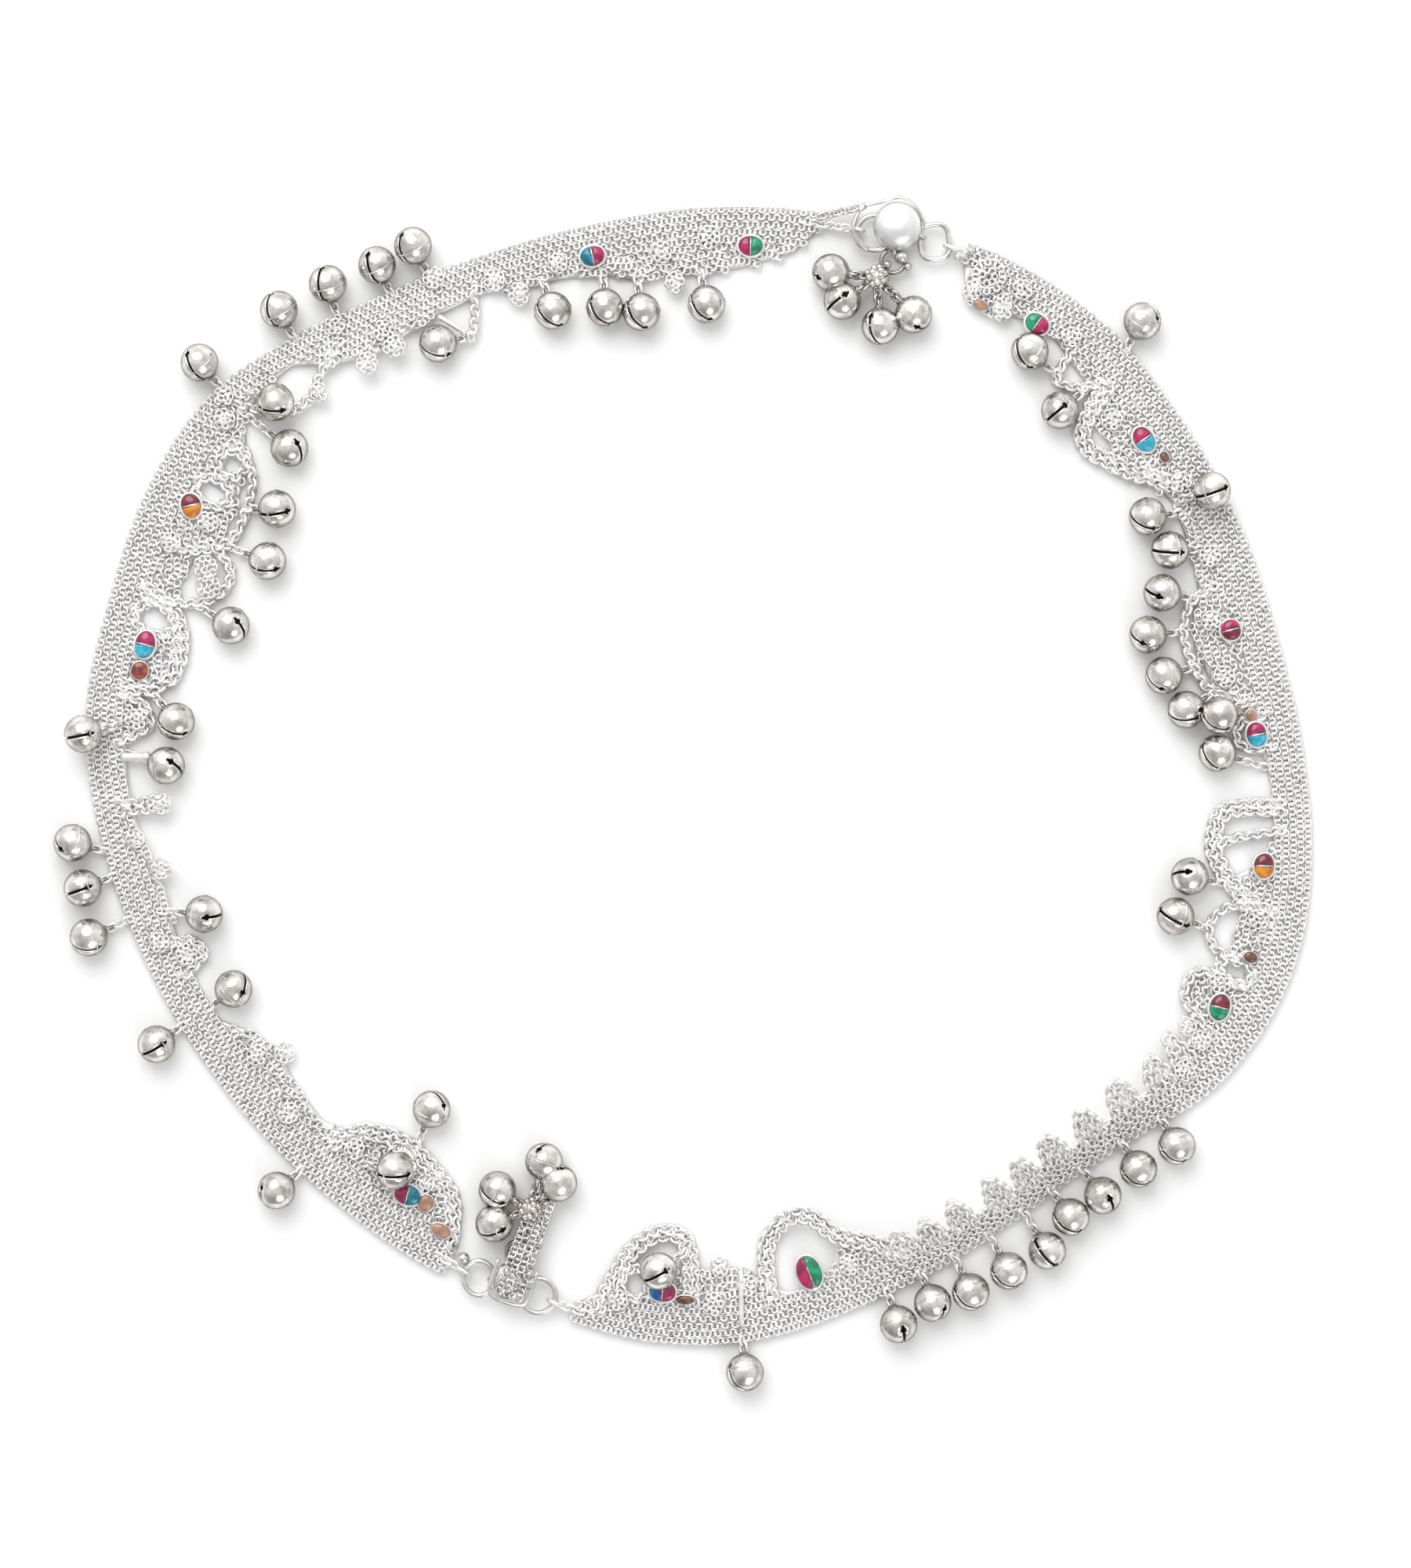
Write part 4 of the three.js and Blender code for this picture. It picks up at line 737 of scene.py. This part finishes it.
# Half the distance between the two chains of a double stroke.
CHAIN_OFFSET = 0.6 * MM
LOOP_STEPS = 14
CURL_SHARE = 0.75
CURL_RISE = 1.5 * MM
BAND_LINK = 1.9 * MM
FINE_CHAIN = {"Pitch": 0.74 * MM, "Link length": 1.08 * MM, "Link width": 0.98 * MM, "Wire": 0.42 * MM,
              "Lean": 0.4, "Unevenness": 0.25, "Finish": chain_silver}
LOOSE_CHAIN = {"Pitch": 0.76 * MM, "Link length": 1.15 * MM, "Link width": 1.04 * MM, "Wire": 0.43 * MM,
               "Lean": 0.3, "Unevenness": 0.8, "Finish": chain_silver}
MOTIF_CHAIN = {"Pitch": 0.86 * MM, "Link length": 1.5 * MM, "Link width": 1.4 * MM, "Wire": 0.62 * MM,
               "Lean": 0.6, "Unevenness": 0.3, "Finish": chain_silver}


def path_point(sections, at, out, rise=ROW_RISE):
    _, _, _, face = directions(sections, at)
    return place(sections, at, out, rise), face


def in_window(windows, at, out, margin):
    for middle, depth, long, deep in windows:
        x = math.radians(at - middle) * LOOP_RADIUS / (long * WINDOW_SIZE / 2 + margin)
        y = (out - depth) * BAND_WIDTH / (deep * WINDOW_SIZE / 2 + margin)
        if x * x + y * y < 1:
            return True
    return False


def window_paths(sections, windows):
    """One round of chain along the rim of each window."""
    paths = []
    for at, out, long, deep in windows:
        reach_at = math.degrees((long * WINDOW_SIZE / 2 + RIM_MARGIN) / LOOP_RADIUS)
        reach_out = (deep * WINDOW_SIZE / 2 + RIM_MARGIN) / BAND_WIDTH
        paths += loop_paths(sections, at, out, reach_at, reach_out)
    return paths


def row_paths(sections, windows, rows):
    """Rows side by side; inner rows start and end where the band is wide enough, and at windows."""
    paths = []
    start, end = sections[0][0], sections[-1][0]
    steps = int((end - start) / 1.2)
    for row in rows:
        depth = (FIRST_ROW + row * ROW_PITCH) / BAND_WIDTH
        path = []
        for step in range(steps + 1):
            at = start + (end - start) * step / steps
            wave = 0 if row < STRAIGHT_ROWS else 0.05 * math.sin(at * 1.9 + row)
            if depth + 0.05 <= read(sections, at, 1) and not in_window(windows, at, depth + wave, ROW_MARGIN):
                path.append(path_point(sections, at, depth + wave))
            else:
                paths.append(path)
                path = []
        paths.append(path)
    return [path for path in paths if len(path) > 1]


def smooth_path(path, steps):
    """A rounded line through the points of a motif's path."""
    line = []
    for index in range(len(path) - 1):
        before = path[max(index - 1, 0)]
        near, far = path[index], path[index + 1]
        after = path[min(index + 2, len(path) - 1)]
        for step in range(steps):
            t = step / steps
            line.append(tuple(
                n + 0.5 * t * (f - b + t * (2 * b - 5 * n + 4 * f - a + t * (3 * (n - f) + a - b)))
                for b, n, f, a in zip(before, near, far, after)))
    return line + [path[-1]]


def stroke_paths(sections, chains, path):
    """A motif's single chain, or the two chains on both sides of its line."""
    spots = [path_point(sections, at, out) for at, out in smooth_path(path, 6)]
    if chains == SINGLE:
        return [spots]
    sides = []
    for offset in (-CHAIN_OFFSET, CHAIN_OFFSET):
        moved = []
        for index, (point, face) in enumerate(spots):
            before = spots[max(index - 1, 0)][0]
            after = spots[min(index + 1, len(spots) - 1)][0]
            moved.append((point + (after - before).normalized().cross(face) * offset, face))
        sides.append(moved)
    return sides


def loop_paths(sections, at, out, radius_at, radius_out, turns=1, rise=ROW_RISE):
    """Closed rounds of chain about a point, each smaller than the last."""
    paths = []
    for turn in range(turns):
        share = 1 - 0.55 * turn
        paths.append([
            path_point(sections, at + share * radius_at * math.cos(2 * math.pi * k / LOOP_STEPS),
                       out + share * radius_out * math.sin(2 * math.pi * k / LOOP_STEPS), rise)
            for k in range(LOOP_STEPS + 1)
        ])
    return paths


def tooth_paths(sections, at, tall):
    """A tooth's outline and the chain up its middle."""
    half = math.degrees(TOOTH_WIDTH / LOOP_RADIUS) / 2
    foot = read(sections, at, 1) - 0.15
    tip = foot + 0.1 + tall * TOOTH_HEIGHT / BAND_WIDTH
    outline = [(at - 0.9 * half, foot), (at - 0.75 * half, foot + (tip - foot) * 0.5), (at, tip),
               (at + 0.75 * half, foot + (tip - foot) * 0.5), (at + 0.9 * half, foot)]
    inner = [(at, foot), (at, tip - 0.2)]
    return [[path_point(sections, *spot) for spot in smooth_path(line, 4)] for line in (outline, inner)]


SHEET_EDGE = 0.06
SHEET_LOW, SHEET_HIGH = 0.1, 0.5
SHEET_CELLS = 10
# The sides of a cell: its two corners, and the step to the cell beyond it.
CELL_SIDES = [
    ((0, 0), (1, 0), (0, -1)), ((1, 0), (1, 1), (1, 0)),
    ((1, 1), (0, 1), (0, 1)), ((0, 1), (0, 0), (-1, 0)),
]


def sheet_and_gap_shade(bm, sections, windows):
    """The thin sheet under the rows, which ties them together and, darkened low down, is painted shade in the
    gaps between links, with the windows left open.
    """
    start, end = sections[0][0], sections[-1][0]
    steps = int((end - start) / 0.8)

    def spot(step, cell):
        at = start + (end - start) * step / steps
        return at, SHEET_EDGE + (read(sections, at, 1) - 2 * SHEET_EDGE) * cell / SHEET_CELLS

    kept = dict.fromkeys(
        (step, cell) for step in range(steps) for cell in range(SHEET_CELLS)
        if not in_window(windows, *spot(step + 0.5, cell + 0.5), SHEET_MARGIN))
    corners = {}

    def corner(step, cell, rise):
        if (step, cell, rise) not in corners:
            corners[step, cell, rise] = bm.verts.new(place(sections, *spot(step, cell), rise * MM))
        return corners[step, cell, rise]

    for step, cell in kept:
        for rise in (SHEET_LOW, SHEET_HIGH):
            bm.faces.new([corner(step + a, cell + b, rise) for (a, b), _, _ in CELL_SIDES])
        for (a, b), (c, d), (e, f) in CELL_SIDES:
            if (step + e, cell + f) not in kept:
                near, far = (step + a, cell + b), (step + c, cell + d)
                bm.faces.new((corner(*near, SHEET_LOW), corner(*far, SHEET_LOW),
                              corner(*far, SHEET_HIGH), corner(*near, SHEET_HIGH)))


def stone_frame(sections, at, out, turn):
    along, inwards, _, face = directions(sections, at)
    spin = math.radians(turn)
    lengthwise = along * math.cos(spin) + inwards * math.sin(spin)
    return matrix_from(lengthwise, face, place(sections, at, out, BAND_THICKNESS))


def band_end(bm, sections, at, inwards, ring):
    """The neck of chain at one end of a band, and its standing eye round the clasp's ring."""
    middle = read(sections, at, 1) / 2
    towards, hold = add_standing_eye(bm, centre_of(ring), RING_RADIUS, place(sections, at, middle, 0))
    end = place(sections, at + 1.4 * inwards, middle, BAND_THICKNESS / 2)
    add_link_chain(bm, hold + towards * EYE_RADIUS, end, 0.5 * MM, BAND_LINK)


def band_piece(name, sections, strokes, knobs, teeth, windows, shells, bars, stones, bell_holds, rings):
    """The woven rows of a band with their sheet, and everything that is soldered on or hung from it."""
    straight = row_paths(sections, windows, range(STRAIGHT_ROWS))
    loose = row_paths(sections, windows, range(STRAIGHT_ROWS, ALL_ROWS))
    motif = window_paths(sections, windows)
    for chains, path in strokes:
        motif += stroke_paths(sections, chains, path)
    for at, tall in teeth:
        motif += tooth_paths(sections, at, tall)
    curls = []
    for at, out, size in shells + knobs:
        reach = size * KNOB_RADIUS * CURL_SHARE
        reach_at, reach_out = math.degrees(reach / LOOP_RADIUS), reach / BAND_WIDTH
        curls += loop_paths(sections, at, out, reach_at, reach_out, 2, CURL_RISE)
    bm = bmesh.new()
    bm.from_mesh(laid_chain(name + " rows", straight, FINE_CHAIN))
    bm.from_mesh(laid_chain(name + " field", loose, LOOSE_CHAIN))
    # The sheet lies low, so the silver's painted shade darkens it: painted shade seen through the gaps of the
    # rows.
    sheet_and_gap_shade(bm, sections, windows)
    finish_piece("chain_" + name, bm, [chain_silver], [name])
    bm = bmesh.new()
    bm.from_mesh(laid_chain(name + " motifs", motif, MOTIF_CHAIN))
    bm.from_mesh(laid_chain(name + " shells", curls, FINE_CHAIN))
    for side, inwards, ring in ((0, 1, rings[0]), (-1, -1, rings[1])):
        band_end(bm, sections, sections[side][0], inwards, ring)
    for near, far, diameter in bars:
        ends = [path_point(sections, at, out, 1.4 * MM)[0] for at, out in (near, far)]
        add_wire(bm, [ends[0].lerp(ends[1], k / 6) for k in range(7)], diameter * MM, 12)
        add_bead(bm, ends[1], diameter * 0.62 * MM)
    for at, out, size in knobs:
        point, face = path_point(sections, at, out)
        add_bead(bm, point + face * 0.1 * MM, 0.8 * size * MM)
    for _, at, out, turn, stretch, _, _, *tall in stones:
        turned = stone_frame(sections, at, out, turn)
        height = tall[0] if tall else 1
        add_ring(bm, turned, STONE_RADIUS * 1.17 * height, 0.5 * MM, 28, 6, stretch / height)
    for root, hold in bell_holds:
        add_link_chain(bm, root, hold, LINK_WIRE, BAND_LINK)
    finish_piece("motifs_" + name, bm, [chain_silver], [name])


band_piece("band_left", LEFT, LEFT_STROKES, LEFT_KNOBS, [], LEFT_WINDOWS, LEFT_SHELLS, LEFT_BARS, LEFT_STONES,
           holds["left"], ["ring_top_left", "ring_bottom_left"])
band_piece("band_right", RIGHT, RIGHT_STROKES, RIGHT_KNOBS, TEETH, RIGHT_WINDOWS, RIGHT_SHELLS, RIGHT_BARS,
           RIGHT_STONES, holds["right"], ["ring_bottom_right", "ring_top_right"])


# Stones: two fields of enamel side by side, each domed, with a thin silver wall between them.
STONE_LEVELS = [(1.0, 0.1), (1.0, 0.45), (0.86, 0.72), (0.55, 0.9), (0.2, 0.97)]
STONE_STEPS = 16
SPOT_LEVELS = [(1.0, -0.2), (0.97, 0.25), (0.75, 0.42), (0.4, 0.52)]
SPOT_STEPS = 20


def stone_piece(sections, name, at, out, turn, stretch, first, second, tall=1):
    turned = stone_frame(sections, at, out, turn)
    bm = bmesh.new()
    for index, mirrored in ((0, 1), (1, -1)):
        rows = []
        for share, rise in STONE_LEVELS:
            row = []
            for step in range(STONE_STEPS + 1):
                angle = math.radians(-90 + 180 * step / STONE_STEPS)
                reach = STONE_RADIUS * 1.06 * share
                part = 0.05 * MM + 0.11 * STONE_RADIUS * (1 - math.sin(angle))
                x = mirrored * (part + reach * (stretch * math.cos(angle) - 0.06))
                row.append(bm.verts.new(turned @ Vector((x, tall * reach * math.sin(angle), rise * MM))))
            rows.append(row)
        made = [bm.faces.new(rows[0]), bm.faces.new(rows[-1])]
        for near, far in zip(rows, rows[1:]):
            made += [bm.faces.new((near[k], near[k + 1], far[k + 1], far[k])) for k in range(STONE_STEPS)]
            made.append(bm.faces.new((near[0], far[0], far[-1], near[-1])))
        for face in made:
            face.material_index = index
    wall = [turned @ Vector((0, across * STONE_RADIUS, (0.62 + lift) * MM))
            for across, lift in ((-1, 0), (-0.5, 0.25), (0, 0.4), (0.5, 0.25), (1, 0))]
    add_wire(bm, wall, 0.24 * MM, 6, 2)
    materials = [ENAMELS[first], ENAMELS[second], clasp_silver]
    finish_piece("enamel_" + name, bm, materials, [name])


for stone in LEFT_STONES:
    stone_piece(LEFT, *stone)
for stone in RIGHT_STONES:
    stone_piece(RIGHT, *stone)


def spots_piece(name, sections, spots):
    """Small domed pieces of enamel in rims of wire."""
    bm = bmesh.new()
    colours = list(dict.fromkeys(colour for *_, colour in spots))
    for at, out, long, deep, colour in spots:
        turned = stone_frame(sections, at, out, 0)
        rows = []
        for share, rise in SPOT_LEVELS:
            row = []
            for step in range(SPOT_STEPS):
                angle = 2 * math.pi * step / SPOT_STEPS
                x, y = share * long / 2 * math.cos(angle), share * deep / 2 * math.sin(angle)
                row.append(bm.verts.new(turned @ (Vector((x, y, rise)) * MM)))
            rows.append(row)
        made = [bm.faces.new(rows[0]), bm.faces.new(rows[-1])]
        for near, far in zip(rows, rows[1:]):
            for k in range(SPOT_STEPS):
                other = (k + 1) % SPOT_STEPS
                made.append(bm.faces.new((near[k], near[other], far[other], far[k])))
        for face in made:
            face.material_index = colours.index(colour)
        add_ring(bm, turned, deep / 2 * MM, 0.35 * MM, 24, 6, long / deep, len(colours))
    materials = [ENAMELS[colour] for colour in colours] + [clasp_silver]
    finish_piece(name, bm, materials, [])


spots_piece("enamel_spots_left", LEFT, LEFT_SPOTS)
spots_piece("enamel_spots_right", RIGHT, RIGHT_SPOTS)


# Clasps
HOLDER_RADIUS = 1.7 * MM
CLASP_WIRE = 0.5 * MM
HOOK_WIRE = 0.6 * MM
STRIP_ROWS = (-1.65, -0.55, 0.55, 1.65)
for node, stretch, power in (("ring_top_left", 1, 1), ("ring_top_right", 0.84, 0.62),
                             ("ring_bottom_left", 0.9, 1), ("ring_bottom_right", 1, 1)):
    bm = bmesh.new()
    add_ring(bm, matrix_from(Vector((1, 0.1, 0)), UP, centre_of(node)), RING_RADIUS, RING_WIRE * 0.88, 48, 12,
             stretch, 0, power)
    finish_piece("silver_" + node, bm, [clasp_silver], [node])


def lathe(bm, centre, profile, around=48):
    """A turned body about the vertical through centre, from (radius, height) pairs."""
    rows = []
    for radius, height in profile:
        if radius == 0:
            rows.append([bm.verts.new(centre + Vector((0, 0, height)))])
            continue
        rows.append([
            bm.verts.new(centre + Vector((radius * math.cos(2 * math.pi * k / around),
                                          radius * math.sin(2 * math.pi * k / around), height)))
            for k in range(around)
        ])
    for near, far in zip(rows, rows[1:]):
        for k in range(around):
            other = (k + 1) % around
            corners = [near[k % len(near)], near[other % len(near)], far[other % len(far)], far[k % len(far)]]
            unique = list(dict.fromkeys(corners))
            if len(unique) > 2:
                bm.faces.new(unique)


def lifted(at, out, height):
    """A point of the clasps at a height in mm."""
    point = place(LEFT, at, out, 0)
    point.z = height * MM
    return point


def ring_spot(at, out):
    """A point of the clasps at the height of the flat rings."""
    point = place(LEFT, at, out, 0)
    point.z = centre_of("ring_top_left").z
    return point


def clasp_body(node, spot, diameter, height, material, eyes):
    """A round body over the rings, with an eye under it round each of them."""
    centre = ring_spot(*spot)
    base = centre + UP * (RING_WIRE / 2 + 0.3 * MM)
    bm = bmesh.new()
    lathe(bm, base, [(across * diameter / 2, rise * height) for across, rise in BODY_PROFILE])
    for ring_centre, ring_radius in eyes:
        add_standing_eye(bm, ring_centre, ring_radius, centre)
    finish_piece("silver_" + node, bm, [material], [node])


TOP_HOLDER = ring_spot(68.9, 0.84)
BOTTOM_HOLDER = ring_spot(250.3, 1.15)
clasp_body("clasp_dome_top", (69.2, 0.05), 7 * MM, 2.8 * MM, dome_silver, [
    (centre_of("ring_top_left"), RING_RADIUS), (centre_of("ring_top_right"), RING_RADIUS),
    (TOP_HOLDER, HOLDER_RADIUS)])
clasp_body("clasp_plate_bottom", (250.5, 0.45), 5.6 * MM, 0.9 * MM, clasp_silver, [
    (centre_of("ring_bottom_left"), RING_RADIUS), (centre_of("ring_bottom_right"), RING_RADIUS),
    (BOTTOM_HOLDER, HOLDER_RADIUS)])


# Wire and chain of the clasps that lie on the solids.
def add_clasp_wire(bm, path, diameter):
    add_wire(bm, [lifted(*spot) for spot in smooth_path(path, 5)], diameter)


bm = bmesh.new()
add_link_chain(bm, lifted(77, 0.14, 1.5), lifted(72.8, -0.26, 2.4), 0.42 * MM, BAND_LINK)
add_clasp_wire(bm, TOP_LOOP, CLASP_WIRE)
add_clasp_wire(bm, TOP_HOOK, HOOK_WIRE)
for *spot, size in TOP_BEADS:
    add_bead(bm, lifted(*spot), size * MM)
finish_piece("clasp_wires_top", bm, [clasp_silver], [])

strip = []
for row in STRIP_ROWS:
    at = 250.9 + math.degrees(row * MM / LOOP_RADIUS)
    strip.append([(lifted(at, 0.2 + 0.19 * k, 3.3 - 0.06 * k), UP) for k in range(13)])
bm = bmesh.new()
bm.from_mesh(laid_chain("strip", strip, LOOSE_CHAIN))
add_clasp_wire(bm, BOTTOM_BEND, CLASP_WIRE)
*spot, size = BOTTOM_BEAD
add_bead(bm, lifted(*spot), size * MM)
finish_piece("clasp_strip_bottom", bm, [clasp_silver], [])

CLUSTER_LINK = 2 * MM
KNOT_BEADS = 14
KNOT_BEAD = 0.55 * MM
KNOT_REACH = 1.45 * MM
KNOT_CORE = 1.4 * MM


def cluster_piece(node, holder, knot, bells):
    """Bells on short chains round a knot of beads, hung from a small ring of the clasp."""
    knot_centre = place(LEFT, knot[0], knot[1], BELL_RADIUS)
    bm = bmesh.new()
    for spot in bells:
        centre = place(LEFT, spot[0], spot[1], BELL_RADIUS)
        axis = (knot_centre - centre).normalized()
        hold = centre + axis * link_standoff
        add_bell(bm, centre, hold, slit_direction(centre, hold))
        add_link_chain(bm, knot_centre, hold, LINK_WIRE, CLUSTER_LINK)
    add_ring(bm, matrix_from(Vector((1, 0, 0)), UP, holder), HOLDER_RADIUS, EYE_WIRE, 28, 8)
    edge = holder + (knot_centre - holder).normalized() * HOLDER_RADIUS
    add_link_chain(bm, edge, knot_centre, LINK_WIRE, CLUSTER_LINK)
    for k in range(KNOT_BEADS):
        turn = 2 * math.pi * k * 0.382
        level = 0.9 - 0.8 * k / KNOT_BEADS
        aside = math.sqrt(1 - level * level)
        offset = Vector((math.cos(turn) * aside, math.sin(turn) * aside, level))
        add_bead(bm, knot_centre + offset * KNOT_REACH, KNOT_BEAD, 10, 6)
    add_bead(bm, knot_centre, KNOT_CORE, 16, 10)
    finish_piece("silver_" + node, bm, [bell_silver, bell_inside_shade], [node])


cluster_piece("bell_cluster_top", TOP_HOLDER, TOP_KNOT, TOP_CLUSTER)
cluster_piece("bell_cluster_bottom", BOTTOM_HOLDER, BOTTOM_KNOT, BOTTOM_CLUSTER)

# Floor, light and camera
FLOOR_REACH = 3.0
FLOOR_DEPTH = 0.0001
floor_material, tree, shader = new_material("pale studio floor")
patches, _ = noise(tree, 20)
fill(tree, shader, {
    "Base Color": ramp(tree, patches, [(0.3, (0.93, 0.93, 0.93)), (0.7, (0.95, 0.95, 0.95))]),
    "Roughness": 0.8, "Specular IOR Level": 0.1})
floor_mesh = bpy.data.meshes.new("floor")
floor_mesh.from_pydata(
    [(x * FLOOR_REACH, y * FLOOR_REACH, -FLOOR_DEPTH) for x, y in ((-1, -1), (1, -1), (1, 1), (-1, 1))],
    [], [(0, 1, 2, 3)])
floor_mesh.materials.append(floor_material)
floor = bpy.data.objects.new("floor", floor_mesh)
bpy.context.collection.objects.link(floor)

world = bpy.data.worlds.new("studio")
world.use_nodes = True
tree = world.node_tree
sky = add_node(tree, "ShaderNodeTexCoord", {})
sky_axes = add_node(tree, "ShaderNodeSeparateXYZ", {"Vector": sky.outputs["Generated"]})
glow = add_node(tree, "ShaderNodeMapRange", {
    "From Min": -0.8, "From Max": 0.8, "To Min": 0.42, "To Max": 1.1, "Value": sky_axes.outputs["Y"]})
fill(tree, tree.nodes["Background"], {"Color": (1, 1, 1, 1), "Strength": glow.outputs["Result"]})
bpy.context.scene.world = world
bpy.context.scene.view_settings.view_transform = "Standard"


def area_light(name, location, size, power):
    """A round lamp that looks at the middle of the frame."""
    light = bpy.data.lights.new(name, "AREA")
    light.shape = "DISK"
    light.size = size
    light.energy = power
    lamp = bpy.data.objects.new(name, light)
    lamp.location = location
    lamp.rotation_euler = (-Vector(location)).to_track_quat("-Z", "Y").to_euler()
    bpy.context.collection.objects.link(lamp)


area_light("key", (-0.2, 0.62, 0.75), 0.85, 5.2)
area_light("fill", (0.35, -0.75, 0.55), 0.7, 2.1)

# One pixel of the photograph is 0.1126 mm. The middles are in pixels from its upper left corner.
PIXEL = LOOP_RADIUS / 755
PICTURE_HEIGHT = 2000 * PIXEL
PICTURE_MIDDLE = (900, 1000)
LOOP_MIDDLE = (880, 985)
look_at = shift + Vector(((PICTURE_MIDDLE[0] - LOOP_MIDDLE[0]) * PIXEL,
                          (LOOP_MIDDLE[1] - PICTURE_MIDDLE[1]) * PIXEL, 2 * MM))
camera_data = bpy.data.cameras.new("camera")
camera_data.sensor_width = 36
camera_data.lens = 100
camera_data.clip_start = 0.01
camera_data.clip_end = 10
camera = bpy.data.objects.new("camera", camera_data)
camera.location = look_at + UP * (PICTURE_HEIGHT * camera_data.lens / camera_data.sensor_width)
bpy.context.collection.objects.link(camera)
bpy.context.scene.camera = camera
